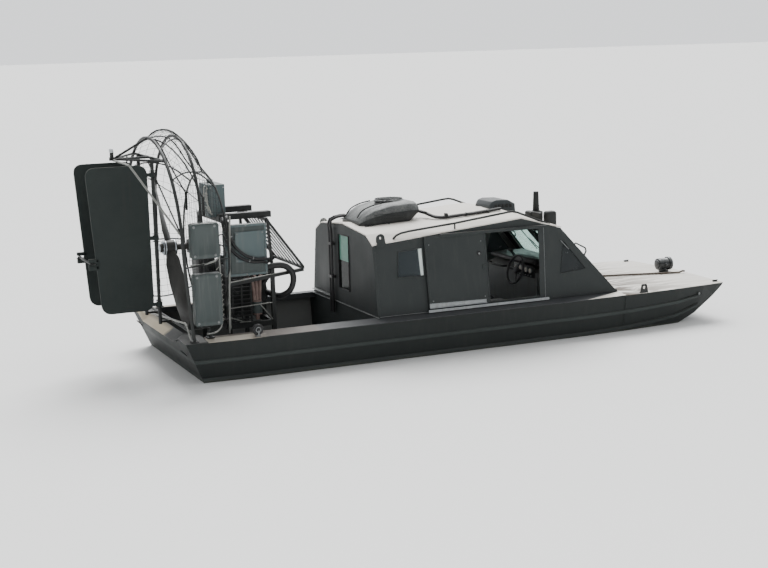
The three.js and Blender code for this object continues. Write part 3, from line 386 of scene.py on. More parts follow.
hullPaint = worn('hullPaint', {
    'colour': (0.011, 0.014, 0.0135), 'second': (0.018, 0.022, 0.021), 'rough': (0.5, 0.66), 'gloss': 0.28,
    'streak': (0.035, 0.036, 0.033), 'streaks': 0.16, 'dustAndHighlight': 0.5, 'wear': 0.4, 'scale': 2.4,
    'edge': (0.12, 0.125, 0.12), 'layer': hullLayer})
rudderPaint = worn('rudderPaint', {
    'colour': (0.03, 0.036, 0.035), 'second': (0.037, 0.044, 0.042), 'rough': (0.6, 0.75), 'gloss': 0.08,
    'streak': (0.042, 0.043, 0.04), 'streaks': 0.25, 'dustAndHighlight': 0.4, 'wear': 0.0, 'scale': 2.4,
    'edge': (0.02, 0.024, 0.023)})
cabinPaint = worn('cabinPaint', {
    'colour': (0.028, 0.033, 0.033), 'second': (0.037, 0.042, 0.042), 'rough': (0.45, 0.62), 'gloss': 0.25,
    'streak': (0.055, 0.058, 0.055), 'streaks': 0.28, 'dustAndHighlight': 0.4, 'wear': 0.35, 'scale': 2.0,
    'edge': (0.16, 0.165, 0.16), 'layer': liningLayer})
deckPaint = worn('deckPaint', {
    'colour': (0.034, 0.038, 0.042), 'second': (0.048, 0.051, 0.055), 'rough': (0.5, 0.7),
    'dustAndHighlightColour': (0.12, 0.12, 0.115), 'dustAndHighlight': 0.25, 'wear': 0.5, 'scale': 4.0, 'edge': (0.2, 0.2, 0.2),
    'layer': deckLayer})
innerFloor = worn('innerFloor', {
    'colour': (0.14, 0.15, 0.152), 'second': (0.18, 0.19, 0.19), 'rough': (0.5, 0.7),
    'dustAndHighlightColour': (0.2, 0.19, 0.17), 'dustAndHighlight': 0.4, 'wear': 0.4, 'scale': 4.0})
sternPaint = worn('sternPaint', {
    'colour': (0.05, 0.054, 0.056), 'second': (0.072, 0.075, 0.075), 'rough': (0.5, 0.7),
    'streak': (0.1, 0.09, 0.08), 'streaks': 0.3, 'dustAndHighlightColour': (0.2, 0.19, 0.17), 'dustAndHighlight': 0.3,
    'edge': (0.3, 0.29, 0.27), 'wear': 0.5, 'scale': 3.5, 'layer': sternLayer})
# The foredeck's pale colour is a painted glare of sun and sky on its wet dark paint
foredeckPaint = worn('foredeckPaint', {
    'colour': (0.8, 0.77, 0.71), 'second': (0.88, 0.86, 0.81), 'rough': (0.7, 0.85), 'gloss': 0.1,
    'streak': (0.3, 0.26, 0.21), 'streaks': 0.3, 'dustAndHighlightColour': (0.52, 0.46, 0.38), 'dustAndHighlight': 0.18,
    'edge': (0.5, 0.48, 0.45), 'wear': 0.4, 'scale': 2.6, 'layer': streakLayer})
# Where it covers the roof, this pale colour is a painted glare of the sky on the roof's dark paint; the gauge faces
# take it as their own colour
palePaint = worn('palePaint', {
    'colour': (0.76, 0.72, 0.65), 'second': (0.84, 0.81, 0.75), 'rough': (0.5, 0.7),
    'streak': (0.3, 0.26, 0.21), 'streaks': 0.5, 'dustAndHighlightColour': (0.46, 0.41, 0.34), 'dustAndHighlight': 0.25,
    'edge': (0.4, 0.38, 0.35), 'wear': 0.4, 'scale': 2.6})
greyBox = worn('greyBox', {
    'colour': (0.046, 0.059, 0.058), 'second': (0.057, 0.071, 0.07), 'rough': (0.42, 0.58),
    'streak': (0.16, 0.16, 0.15), 'streaks': 0.3, 'dustAndHighlight': 0.3, 'wear': 0.35, 'scale': 3.0, 'radius': 0.005,
    'edge': (0.2, 0.22, 0.22)})
darkMetal = worn('darkMetal', {
    'colour': (0.016, 0.018, 0.018), 'second': (0.032, 0.034, 0.033), 'rough': (0.42, 0.68),
    'streak': (0.05, 0.048, 0.044), 'streaks': 0.25, 'dustAndHighlightColour': (0.12, 0.12, 0.115), 'dustAndHighlight': 0.25, 'wear': 0.4,
    'scale': 6.0, 'metal': 0.25, 'radius': 0.002, 'edge': (0.16, 0.165, 0.165)})
ventPaint = worn('ventPaint', {
    'colour': (0.045, 0.052, 0.056), 'second': (0.06, 0.068, 0.072), 'rough': (0.5, 0.65), 'gloss': 0.3,
    'streak': (0.09, 0.09, 0.085), 'streaks': 0.3, 'dustAndHighlight': 0.15, 'wear': 0.35, 'scale': 2.5, 'radius': 0.003})
poleWood = worn('poleWood', {
    'colour': (0.06, 0.046, 0.036), 'second': (0.115, 0.09, 0.07), 'rough': (0.5, 0.7),
    'streak': (0.16, 0.13, 0.1), 'streaks': 0.4, 'dustAndHighlight': 0.3, 'wear': 0.3, 'scale': 9.0, 'radius': 0.002})
# The searchlight's pale upward faces are a painted highlight of the sky, laid on through the dust mask
lampPaint = worn('lampPaint', {
    'colour': (0.016, 0.018, 0.02), 'second': (0.026, 0.029, 0.031), 'rough': (0.18, 0.3), 'gloss': 0.5,
    'streak': (0.05, 0.05, 0.05), 'streaks': 0.2, 'dustAndHighlightColour': (0.42, 0.43, 0.43), 'dustAndHighlight': 0.8, 'wear': 0.2,
    'scale': 9.0, 'radius': 0.002})
bladePaint = worn('bladePaint', {
    'colour': (0.024, 0.024, 0.023), 'second': (0.042, 0.041, 0.038), 'rough': (0.38, 0.55),
    'streak': (0.08, 0.078, 0.072), 'streaks': 0.3, 'dustAndHighlightColour': (0.2, 0.19, 0.17), 'dustAndHighlight': 0.3, 'wear': 0.4,
    'scale': 5.0, 'radius': 0.002, 'edge': (0.2, 0.2, 0.19)})
bareMetal = worn('bareMetal', {
    'colour': (0.3, 0.32, 0.33), 'second': (0.42, 0.44, 0.45), 'rough': (0.34, 0.52),
    'streak': (0.2, 0.19, 0.17), 'streaks': 0.5, 'dustAndHighlight': 0.3, 'wear': 0.3, 'scale': 8.0, 'metal': 0.85,
    'radius': 0.002})
dullBolt = worn('dullBolt', {
    'colour': (0.16, 0.17, 0.17), 'second': (0.24, 0.25, 0.25), 'rough': (0.4, 0.6),
    'streak': (0.1, 0.1, 0.09), 'streaks': 0.5, 'dustAndHighlight': 0.2, 'wear': 0.3, 'scale': 14.0, 'metal': 0.5,
    'radius': 0.001})
polished = worn('polished', {
    'colour': (0.62, 0.68, 0.74), 'second': (0.78, 0.83, 0.88), 'rough': (0.22, 0.38),
    'streak': (0.4, 0.42, 0.44), 'streaks': 0.3, 'dustAndHighlight': 0.2, 'wear': 0.2, 'scale': 8.0, 'metal': 0.8,
    'radius': 0.002})
rustyPipe = worn('rustyPipe', {
    'colour': (0.15, 0.1, 0.088), 'second': (0.26, 0.195, 0.175), 'rough': (0.62, 0.85),
    'streak': (0.07, 0.04, 0.03), 'streaks': 0.6, 'dustAndHighlight': 0.3, 'wear': 0.4, 'scale': 14.0, 'metal': 0.2,
    'edge': (0.34, 0.25, 0.21), 'bump': 0.4, 'radius': 0.002})
blackRubber = worn('blackRubber', {
    'colour': (0.01, 0.01, 0.011), 'second': (0.02, 0.02, 0.021), 'rough': (0.4, 0.6),
    'streak': (0.05, 0.048, 0.045), 'streaks': 0.3, 'dustAndHighlightColour': (0.12, 0.12, 0.115), 'dustAndHighlight': 0.3, 'wear': 0.1,
    'scale': 9.0, 'edge': (0.06, 0.06, 0.06), 'radius': 0.002})


def tintedGlass(name, tint, rough, bend=1.16, clear=0.92, layer=None):
    material, tree, shader = startMaterial(name)
    place = objectPlace(tree)
    film = noise(tree, place, 5.0, 7.0, 0.7)
    wiped = ramp(tree, film, 0.42, 0.75)
    colour = mixColour(tree, wiped, tint, tuple(c * 0.82 for c in tint))
    if layer:
        colour = layer(tree, place, colour)
    tree.links.new(colour, shader.inputs['Base Color'])
    tree.links.new(mixValue(tree, wiped, rough, rough + 0.09), shader.inputs['Roughness'])
    shader.inputs['Transmission Weight'].default_value = clear
    shader.inputs['IOR'].default_value = bend
    return material


# The dark pane is slid back from the window's fore edge; the light that comes through there is a bright strip
# painted on the glass
def paintedLightStrip(tree, place, colour):
    split = parts(tree, place)
    leant = calc(tree, 'MULTIPLY_ADD', split['Z'], 0.033, split['X'])
    return mixColour(tree, ramp(tree, leant, -0.212, -0.204), colour, (0.86, 0.95, 0.92))


# Painted light and shade on the aft window: bright teal above its cross bar for the light from the windscreen seen
# through the cabin, dark below for the shaded cabin
def paintedLightAndShade(tree, place, colour):
    high = ramp(tree, parts(tree, place)['Z'], 1.138, 1.142)
    return mixColour(tree, high, (0.028, 0.035, 0.033), colour)


tealGlass = tintedGlass('tealGlass', (0.3, 0.62, 0.5), 0.06, 1.14, 0.35, paintedLightAndShade)
screenGlass = tintedGlass('screenGlass', (0.5, 0.72, 0.66), 0.02, 1.2)
darkGlass = tintedGlass('darkGlass', (0.034, 0.04, 0.042), 0.22, 1.4, 0.25)
sideGlass = tintedGlass('sideGlass', (0.052, 0.064, 0.07), 0.1, 1.45, 0.35, paintedLightStrip)


def wovenCloth(name, look):
    material, tree, shader = startMaterial(name)
    place = objectPlace(tree)
    across, along, upright = (
        put(tree, 'TexWave', {'bands_direction': way}, {'Vector': place, 'Scale': 260.0}).outputs['Fac']
        for way in 'XYZ')
    weave = calc(tree, 'MAXIMUM', times(tree, across, along), times(tree, upright, along))
    blotch = noise(tree, place, 7.0, 5.0)
    colour = mixColour(tree, ramp(tree, blotch, 0.35, 0.65), look['colour'], look['second'])
    colour = mixColour(tree, times(tree, weave, 0.4), colour, look['thread'])
    tree.links.new(colour, shader.inputs['Base Color'])
    shader.inputs['Roughness'].default_value = 0.86
    shader.inputs['Sheen Weight'].default_value = 0.25
    bumped(tree, shader, 0.35, 0.001, weave)
    return material


seatCloth = wovenCloth('seatCloth', {
    'colour': (0.022, 0.024, 0.027), 'second': (0.034, 0.036, 0.04), 'thread': (0.07, 0.072, 0.078)})

# The pod's pale upward faces are a painted reflection of the sky, laid on through the dust mask
podPaint = worn('podPaint', {
    'colour': (0.012, 0.014, 0.014), 'second': (0.02, 0.023, 0.023), 'rough': (0.34, 0.46), 'gloss': 0.35,
    'bump': 0.1,
    'streak': (0.07, 0.07, 0.068), 'streaks': 0.3, 'dustAndHighlightColour': (0.42, 0.43, 0.42), 'dustAndHighlight': 0.8, 'wear': 0.3,
    'scale': 2.5, 'radius': 0.003})
paleBox = worn('paleBox', {
    'colour': (0.08, 0.112, 0.116), 'second': (0.098, 0.132, 0.136), 'rough': (0.4, 0.55),
    'streak': (0.17, 0.17, 0.16), 'streaks': 0.3, 'dustAndHighlight': 0.35, 'wear': 0.4, 'scale': 3.0, 'radius': 0.003})
paleCable = worn('paleCable', {
    'colour': (0.34, 0.34, 0.31), 'second': (0.5, 0.5, 0.46), 'rough': (0.5, 0.7),
    'streak': (0.12, 0.11, 0.1), 'streaks': 0.5, 'dustAndHighlight': 0.3, 'wear': 0.1, 'scale': 12.0, 'radius': 0.002})
paleTube = worn('paleTube', {
    'colour': (0.2, 0.205, 0.19), 'second': (0.3, 0.305, 0.29), 'rough': (0.38, 0.55),
    'streak': (0.11, 0.1, 0.09), 'streaks': 0.5, 'dustAndHighlight': 0.35, 'wear': 0.3, 'scale': 8.0, 'metal': 0.6,
    'radius': 0.002})


def clearLens(name, tint):
    material, tree, shader = startMaterial(name)
    place = objectPlace(tree)
    ribs = put(tree, 'TexWave', {'bands_direction': 'Y'}, {
        'Vector': place, 'Scale': 40.0, 'Distortion': 0.3}).outputs['Fac']
    film = noise(tree, place, 60.0, 5.0)
    colour = mixColour(tree, ramp(tree, film, 0.4, 0.7), tint, tuple(c * 0.7 for c in tint))
    tree.links.new(colour, shader.inputs['Base Color'])
    tree.links.new(mixValue(tree, film, 0.08, 0.22), shader.inputs['Roughness'])
    shader.inputs['Coat Weight'].default_value = 0.6
    bumped(tree, shader, 0.3, 0.002, ribs)
    return material


lampGlass = clearLens('lampGlass', (0.62, 0.66, 0.68))

slotFinish = {
    'hull_paint': hullPaint, 'deck_paint': deckPaint, 'cabin_paint': cabinPaint, 'pale_paint': palePaint,
    'bare_metal': bareMetal, 'grey_box': greyBox, 'dark_metal': darkMetal, 'blade': bladePaint,
    'rubber': blackRubber, 'glass': tealGlass, 'rust': rustyPipe, 'seat_cloth': seatCloth}
ownFinish = {
    'rudder_port': rudderPaint, 'rudder_starboard': rudderPaint, 'tie_rod': darkMetal, 'stern_deck': sternPaint,
    'cabin_floor': innerFloor, 'well_floor': innerFloor, 'helm_console': innerFloor,
    'roof_lug_port': cabinPaint, 'roof_lug_starboard': cabinPaint,
    'side_glass_port': sideGlass, 'side_glass_starboard': sideGlass,
    'quarter_glass_port': darkGlass, 'quarter_glass_starboard': darkGlass,
    'windscreen_glass_port': screenGlass, 'windscreen_glass_starboard': screenGlass}
for row in frame["record"]["subparts"]:
    obj = nodes[row["node"]]
    obj.data.materials.clear()
    obj.data.materials.append(ownFinish.get(row["node"], slotFinish[row["material_slot"]]))
print("finishes made")


# Small makers that the pieces below share

def tube(points, radius, soft=True, sides=2, steps=6):
    bpy.ops.curve.primitive_bezier_curve_add(location=(0.0, 0.0, 0.0))
    path = bpy.context.object
    path.data.dimensions = '3D'
    path.data.resolution_u = steps if soft else 1
    spline = path.data.splines[0]
    spline.bezier_points.add(len(points) - 2)
    for knot, place in zip(spline.bezier_points, points):
        knot.co = place
        knot.handle_left_type = knot.handle_right_type = 'AUTO' if soft else 'VECTOR'
    path.data.bevel_depth = radius
    path.data.bevel_resolution = sides
    path.data.use_fill_caps = True
    selectOnly(path)
    bpy.ops.object.convert(target='MESH')
    made = bpy.context.object
    smoothBy(made, 50)
    return made


# The same through stations: bar with straight stretches, hose with soft bends
def bar(points, radius, sides=2):
    return tube(ahead(points), radius, False, sides)


def hose(points, radius, sides=2):
    return tube(ahead(points), radius, True, sides)


# In edit mode: selects the faces that a test picks
def selectFaces(obj, picked):
    bpy.ops.mesh.select_mode(type='FACE')
    bpy.ops.mesh.select_all(action='DESELECT')
    leaveEdit()
    for face in obj.data.polygons:
        face.select = picked(face)
    bpy.ops.object.mode_set(mode='EDIT')


# Goes into edit mode with the faces selected that look along a direction
def editToward(obj, direction):
    editAll(obj)
    selectFaces(obj, lambda face: face.normal.dot(Vector(direction)) > 0.99)


def insetFaces(obj, direction, *steps):
    editToward(obj, direction)
    for thickness, depth in steps:
        bpy.ops.mesh.inset(thickness=thickness, depth=depth)
    leaveEdit()


def cube(low, high):
    middle = [(a + b) / 2 for a, b in zip(low, high)]
    bpy.ops.mesh.primitive_cube_add(size=1.0, location=middle)
    made = bpy.context.object
    made.scale = [b - a for a, b in zip(low, high)]
    applyPlace(made)
    return made


def block(low, high, bevel=0.004, segments=2):
    made = cube(low, high)
    if bevel:
        bevelEdges(made, bevel, segments)
        smoothBy(made, 40)
    return made


def slab(low, high, bevel=0.004, segments=2):
    return block(at(*low), at(*high), bevel, segments)


def disc(place, radius, depth, axis, sides=20, bevel=0.002):
    bpy.ops.mesh.primitive_cylinder_add(vertices=sides, radius=radius, depth=depth)
    made = bpy.context.object
    made.rotation_mode = 'QUATERNION'
    made.rotation_quaternion = Vector((0.0, 0.0, 1.0)).rotation_difference(Vector(axis))
    made.location = place
    applyPlace(made)
    if bevel:
        bevelEdges(made, bevel, 2)
    smoothBy(made, 35)
    return made


# A washer with a hexagon head on it, looking up
def boltShape(radius):
    washer = disc((0.0, 0.0, radius * 0.12), radius * 1.5, radius * 0.24, (0, 0, 1), 16, radius * 0.08)
    head = disc((0.0, 0.0, radius * 0.55), radius, radius * 0.8, (0, 0, 1), 6, radius * 0.1)
    editToward(head, (0, 0, 1))
    bpy.ops.mesh.inset(thickness=radius * 0.2, depth=0.0)
    bpy.ops.transform.translate(value=(0.0, 0.0, radius * 0.12))
    leaveEdit()
    return joinAll('bolt', [washer, head])


# Copies of one form at many places, turned to look along an axis, as one piece
def spread(name, template, places, axis):
    turn = Vector((0.0, 0.0, 1.0)).rotation_difference(Vector(axis)).to_matrix().to_4x4()
    copies = []
    for place in places:
        made = template.copy()
        made.data = template.data.copy()
        made.data.transform(Matrix.Translation(place) @ turn)
        bpy.context.scene.collection.objects.link(made)
        copies.append(made)
    return joinAll(name, copies)


def corners(x, y, z, dx, dy):
    return [at(x + along, y + across, z) for along in (-dx, dx) for across in (-dy, dy)]


def bolts(name, radius, places, axis):
    template = boltShape(radius)
    made = spread(name, template, places, axis)
    bpy.data.objects.remove(template)
    return made


# A point on a smooth line through a few points, at a share of the way along their numbers
def curveThrough(points, share):
    place = share * (len(points) - 1)
    i = min(int(place), len(points) - 2)
    t = place - i
    a = points[max(i - 1, 0)]
    b, c = points[i], points[i + 1]
    d = points[min(i + 2, len(points) - 1)]
    return [
        0.5 * (2 * q + (r - p) * t + (2 * p - 5 * q + 4 * r - s) * t * t + (3 * q - p - 3 * r + s) * t ** 3)
        for p, q, r, s in zip(a, b, c, d)]


# Cage: its tubes, the wire dome and the wire screen in the front ring

cageLook = {
    'wire': 0.0036, 'cell': 0.1, 'ringX': 0.6, 'ringHalf': 0.88, 'ringRise': 0.826, 'shaft': 1.475,
    'around': 56, 'along': 8, 'within': 0.993, 'outer': 0.98, 'inner': 0.24}

cageRibs = [  # the ribs from the foot up to the crown, each from the rear hoop to the front ring
    [(0.084, 1.144, 0.748), (0.16, 1.125, 0.744), (0.33, 1.01, 0.746), (0.45, 0.86, 0.79), (0.6, 0.633, 0.901)],
    [(0.045, 1.188, 1.08), (0.155, 1.15, 1.08), (0.31, 1.05, 1.09), (0.45, 0.925, 1.11), (0.6, 0.79, 1.11)],
    [(0.006, 1.232, 1.42), (0.15, 1.178, 1.424), (0.292, 1.09, 1.428), (0.45, 0.985, 1.44), (0.6, 0.878, 1.432)],
    [(0.0, 1.13, 1.96), (0.148, 1.08, 1.985), (0.292, 0.96, 1.985), (0.44, 0.835, 1.94), (0.6, 0.74, 1.92)],
    [(0.0, 0.915, 2.312), (0.146, 0.83, 2.372), (0.292, 0.705, 2.368), (0.43, 0.6, 2.31), (0.6, 0.492, 2.16)],
    [(0.0, 0.508, 2.606), (0.14, 0.38, 2.692), (0.292, 0.25, 2.694), (0.43, 0.222, 2.53), (0.6, 0.228, 2.273)],
    [(0.0, 0.0, 2.714), (0.155, 0.0, 2.796), (0.3, 0.0, 2.752), (0.463, 0.0, 2.59), (0.6, 0.0, 2.301)]]


def wired(obj, thickness):
    return modified(obj, 'WIREFRAME', thickness=thickness, use_boundary=True, use_replace=True)


def makeCage(look):
    renewed('cage', 'cageTubes', darkMetal, 50)

    across = [[(x, -y, z) for x, y, z in rib] for rib in cageRibs]
    across += cageRibs[-2::-1]
    shaft, within, outer = look['shaft'], look['within'], look['outer']
    bpy.ops.mesh.primitive_grid_add(x_subdivisions=look['around'], y_subdivisions=look['along'], size=1.0)
    dome = bpy.context.object
    for vertex in dome.data.vertices:
        u, v = vertex.co.x + 0.5, vertex.co.y + 0.5
        x, y, z = curveThrough([curveThrough(rib, v) for rib in across], u)
        vertex.co = (x - station, y * within, shaft + (z - shaft) * within)
    wired(dome, look['wire'])

    count = 2 * round(look['ringHalf'] / look['cell'])
    bpy.ops.mesh.primitive_grid_add(x_subdivisions=count, y_subdivisions=count, size=2.0)
    screen = bpy.context.object
    editAll(screen)
    selectFaces(screen, lambda face: not look['inner'] <= math.hypot(*face.center[:2]) <= outer)
    bpy.ops.mesh.delete(type='FACE')
    leaveEdit()
    for vertex in screen.data.vertices:
        y, z = vertex.co.x, vertex.co.y
        far = max(math.hypot(y, z), outer)
        y, z = y * outer / far, z * outer / far
        vertex.co = (look['ringX'] - station, y * look['ringHalf'], shaft + z * look['ringRise'])
    wired(screen, look['wire'])
    piece('cageWires', [dome, screen], darkMetal)


makeCage(cageLook)
print("cage made")


# A place on the cabin's leaning side: forward, up, out of the wall, -1 starboard or 1 port
def onSide(x, z, out, side):
    face = 1.01 - 0.1555 * (z - 0.6166)
    return at(x, side * (face + out * 0.988), z + out * 0.1536)


def sideNormal(side):
    return (0.0, side * 0.988, 0.1536)


# Seats: a pan and posts in metal, with a seat and a back cushion of cloth

seatLook = {
    'cell': 0.009, 'puff': 4.0, 'most': 0.02, 'welt': 0.006, 'weltAt': 0.476, 'corner': 0.04, 'lean': -8.5,
    'crown': 0.016}


def cushionForm(low, high, crown):
    made = cube(low, high)
    editAll(made)
    bpy.ops.mesh.subdivide(number_cuts=7)
    leaveEdit()
    middle = [(a + b) / 2 for a, b in zip(low, high)]
    half = [(b - a) / 2 for a, b in zip(low, high)]
    for vertex in made.data.vertices:
        u, v, w = ((c - m) / h for c, m, h in zip(vertex.co, middle, half))
        swell = (1.0 - u * u) * (1.0 - v * v)
        vertex.co.z += crown * swell * max(w, 0.0)
        vertex.co.x -= crown * 0.35 * u * (1.0 - abs(w)) * abs(v) ** 4
        vertex.co.y -= crown * 0.35 * v * (1.0 - abs(w)) * abs(u) ** 4
    bevelEdges(made, min(half) * 0.55, 4, 50)
    return made


def puffed(pad, look):
    modified(pad, 'REMESH', mode='VOXEL', voxel_size=look['cell'])
    before = [vertex.co.copy() for vertex in pad.data.vertices]
    cloth = pad.modifiers.new('cloth', 'CLOTH')
    cloth.settings.use_pressure = True
    cloth.settings.uniform_pressure_force = look['puff']
    cloth.settings.effector_weights.gravity = 0.0
    cloth.settings.quality = 4
    for frameNumber in range(1, 21):
        bpy.context.scene.frame_set(frameNumber)
    applyModifiers(pad)
    bpy.context.scene.frame_set(1)
    for vertex, start in zip(pad.data.vertices, before):
        move = vertex.co - start
        if move.length > look['most']:
            vertex.co = start + move * (look['most'] / move.length)
    modified(pad, 'SUBSURF', levels=1, render_levels=1)
    smoothBy(pad, 80)
    return pad


def pipingRound(low, high, look):
    inset, c = 0.004, look['corner']
    x0, y0 = low[0] + inset, low[1] + inset
    x1, y1 = high[0] - inset, high[1] - inset
    ring = [
        (x0 + c, y0), (x1 - c, y0), (x1, y0 + c), (x1, y1 - c), (x1 - c, y1), (x0 + c, y1), (x0, y1 - c),
        (x0, y0 + c), (x0 + c, y0)]
    return tube([(x, y, look['weltAt']) for x, y in ring], look['welt'], False, 1)


def tilted(obj, place, degrees):
    turn = Matrix.Rotation(math.radians(degrees), 4, 'Y')
    obj.data.transform(Matrix.Translation(place) @ turn @ Matrix.Translation(-Vector(place)))
    return obj


def makeCushion(name, low, high, crown, look, hinge=None):
    pad = puffed(cushionForm(low, high, crown), look)
    if hinge:
        tilted(pad, hinge, look['lean'])
    pad.name = name
    dress(pad, seatCloth)


def makeSeat(node, x, y, width, look):
    half = width / 2
    hinge = at(x - 0.19, y, 0.48)
    low, high = at(x - 0.222, y - half + 0.008, 0.424), at(x + 0.222, y + half - 0.008, 0.488)
    makeCushion(node + '_cushion', low, high, look['crown'], look)
    backLow, backHigh = at(x - 0.272, y - half + 0.012, 0.52), at(x - 0.196, y + half - 0.012, 1.01)
    makeCushion(node + '_back', backLow, backHigh, 0.0, look, hinge)
    piping = [pipingRound(low, high, look)]
    count = 3 if width < 1.0 else 8
    for i in range(1, count):
        across = y - half + width * i / count
        seam = [(x - 0.2, 0.489), (x - 0.1, 0.503), (x + 0.05, 0.504), (x + 0.21, 0.484)]
        piping.append(hose([(along, across, z) for along, z in seam], 0.0035, 1))
    piece(node + '_piping', piping, blackRubber)
    shell = slab((x - 0.284, y - half + 0.02, 0.47), (x - 0.268, y + half - 0.02, 1.0), 0.006)
    frameOf = [
        slab((x - 0.225, y - half + 0.015, 0.4), (x + 0.215, y + half - 0.015, 0.424), 0.006),
        slab((x - 0.19, y - half + 0.05, 0.058), (x + 0.18, y + half - 0.05, 0.4), 0.014, 3),
        tilted(shell, hinge, look['lean'])]
    for s in (-1, 1):
        arm = [(x - 0.22, 0.42), (x - 0.245, 0.47), (x - 0.265, 0.55), (x - 0.31, 0.9)]
        frameOf.append(hose([(along, y + s * (half - 0.03), z) for along, z in arm], 0.012))
    for s in (-1, 1):
        slide = y + s * (half - 0.09)
        frameOf.append(slab((x - 0.2, slide - 0.014, 0.058), (x + 0.21, slide + 0.014, 0.082), 0.003))
    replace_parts(piece(node + '_frame', frameOf, darkMetal), node)


for seatNode, seatX, seatY, seatWidth in (
        ('helm_seat', 4.15, -0.33, 0.52), ('mate_seat', 4.15, 0.33, 0.52), ('bench_seat', 2.9, 0.0, 1.5)):
    makeSeat(seatNode, seatX, seatY, seatWidth, seatLook)
print("seats made")


# Helm console: instrument panel, wheel, levers and a foot rail

helmLook = {'wheel': 0.175, 'rim': 0.014, 'wheelAt': (4.425, -0.33, 0.885), 'gauge': 0.042}


def makeHelm(look):
    desk = slab((4.585, -0.6, 0.93), (5.05, 0.6, 0.985), 0.02, 3)
    insetFaces(desk, (0, 0, 1), (0.03, -0.008))
    visor = slab((4.545, -0.59, 0.955), (4.7, -0.07, 1.035), 0.022, 3)
    piece('console_top', [desk, visor], blackRubber)

    piece('gauge_panel', [slab((4.541, -0.575, 0.8), (4.5595, -0.085, 0.945), 0.005)], darkMetal)
    rims, faces = [], []
    for y, z, size in ((-0.5, 0.885, 0.8), (-0.4, 0.885, 0.8), (-0.255, 0.88, 1.15), (-0.15, 0.885, 0.8)):
        rims.append(disc(at(4.537, y, z), look['gauge'] * size, 0.012, (1, 0, 0), 28, 0.003))
        faces.append(disc(at(4.5305, y, z), look['gauge'] * size * 0.82, 0.003, (1, 0, 0), 28, 0.0))
    for i in range(7):
        rims.append(disc(at(4.537, -0.52 + i * 0.066, 0.822), 0.008, 0.022, (1, 0, 0), 12, 0.002))
    piece('gauge_rims', rims, bareMetal)
    piece('gauge_faces', faces, palePaint)

    x, y, z = look['wheelAt']
    bpy.ops.mesh.primitive_torus_add(
        major_segments=40, minor_segments=10, major_radius=look['wheel'], minor_radius=look['rim'])
    rim = bpy.context.object
    hub = disc((0.0, 0.0, -0.012), 0.045, 0.03, (0, 0, 1), 24, 0.006)
    spokes = []
    for i in range(3):
        angle = math.radians(90 + 120 * i)
        tip = (math.cos(angle) * look['wheel'], math.sin(angle) * look['wheel'], 0.0)
        spokes.append(tube([(0.0, 0.0, -0.01), (tip[0] * 0.5, tip[1] * 0.5, -0.008), tip], 0.009))
    wheel = joinAll('steering_wheel', [rim, hub] + spokes)
    wheel.data.transform(Matrix.Translation(at(x, y, z)) @ Matrix.Rotation(math.radians(-72), 4, 'Y'))
    smoothBy(wheel, 60)
    dress(wheel, blackRubber)
    column = hose([(x + 0.01, y, z - 0.004), (x + 0.09, y, z - 0.03), (4.575, y, z - 0.05)], 0.022, 3)
    levers = []
    for side in (0.0, 0.05):
        across = -0.06 + side
        levers.append(hose([(4.6, across, 0.975), (4.575, across, 1.02), (4.53, across, 1.075)], 0.008))
        knob = at(4.525, across, 1.083)
        bpy.ops.mesh.primitive_uv_sphere_add(segments=16, ring_count=10, radius=0.02, location=knob)
        levers.append(bpy.context.object)
    bend = ((4.56, 0.12), (4.515, 0.13), (4.5, 0.16), (4.5, 0.5), (4.515, 0.53), (4.56, 0.54))
    rail = hose([(along, across, 0.86) for along, across in bend], 0.012, 3)
    foot = bar([(4.558, -0.55, 0.2), (4.46, -0.55, 0.17), (4.46, -0.11, 0.17), (4.558, -0.11, 0.2)], 0.014, 3)
    metal = joinAll('console_fittings', [column, rail, foot] + levers)
    smoothBy(metal, 60)
    dress(metal, darkMetal)


makeHelm(helmLook)
print("helm made")


# Cabin: window seals, frames, rivets, edge beads, wipers and grab bars

cabinLook = {'seal': 0.0045, 'rivet': 0.0045, 'step': 0.085}
sideWindow = [(2.56, 1.04), (2.895, 1.04), (2.895, 1.352), (2.59, 1.33)]
quarterWindow = [(4.69, 0.9), (5.04, 0.935), (4.76, 1.29)]
wallTop = [(2.3, 1.423), (3.23, 1.504)]


# A flat outline drawn out along a way, as a closed form
def extruded(outline, way):
    mesh = bpy.data.meshes.new('outline')
    mesh.from_pydata(outline, [], [list(range(len(outline)))])
    made = bpy.data.objects.new('outline', mesh)
    bpy.context.scene.collection.objects.link(made)
    editAll(made)
    bpy.ops.mesh.extrude_region_move(TRANSFORM_OT_translate={'value': way})
    bpy.ops.mesh.select_all(action='SELECT')
    bpy.ops.mesh.normals_make_consistent(inside=False)
    leaveEdit()
    return made


# Places at an even step along a line of points
def alongLine(points, step, offset=0.0):
    made = []
    for (x0, z0), (x1, z1) in zip(points, points[1:]):
        count = max(2, int(math.hypot(x1 - x0, z1 - z0) / step))
        made += [
            (x0 + (x1 - x0) * (i + 0.5) / count, z0 + (z1 - z0) * (i + 0.5) / count + offset)
            for i in range(count)]
    return made


def rakePlace(y, v, out):
    run, rise = 0.72, 0.8234
    length = math.hypot(run, rise)
    return at(
        5.46 - run / length * v + rise / length * out, y, 0.6166 + rise / length * v + run / length * out)


# A closed sheet on the cabin's side, from one distance out of the wall to another
def sheetOn(side, outline, near, far, bevel=0.0015):
    made = extruded([onSide(x, z, near, side) for x, z in outline], Vector(sideNormal(side)) * (far - near))
    if bevel:
        bevelEdges(made, bevel, 1)
    return made


def pierced(made, cutter):
    modified(made, 'BOOLEAN', operation='DIFFERENCE', object=cutter)
    bpy.data.objects.remove(cutter)
    return made


# A bar on the cabin's side
def sideBar(side, points, out, radius):
    return tube([onSide(x, z, out, side) for x, z in points], radius, False)


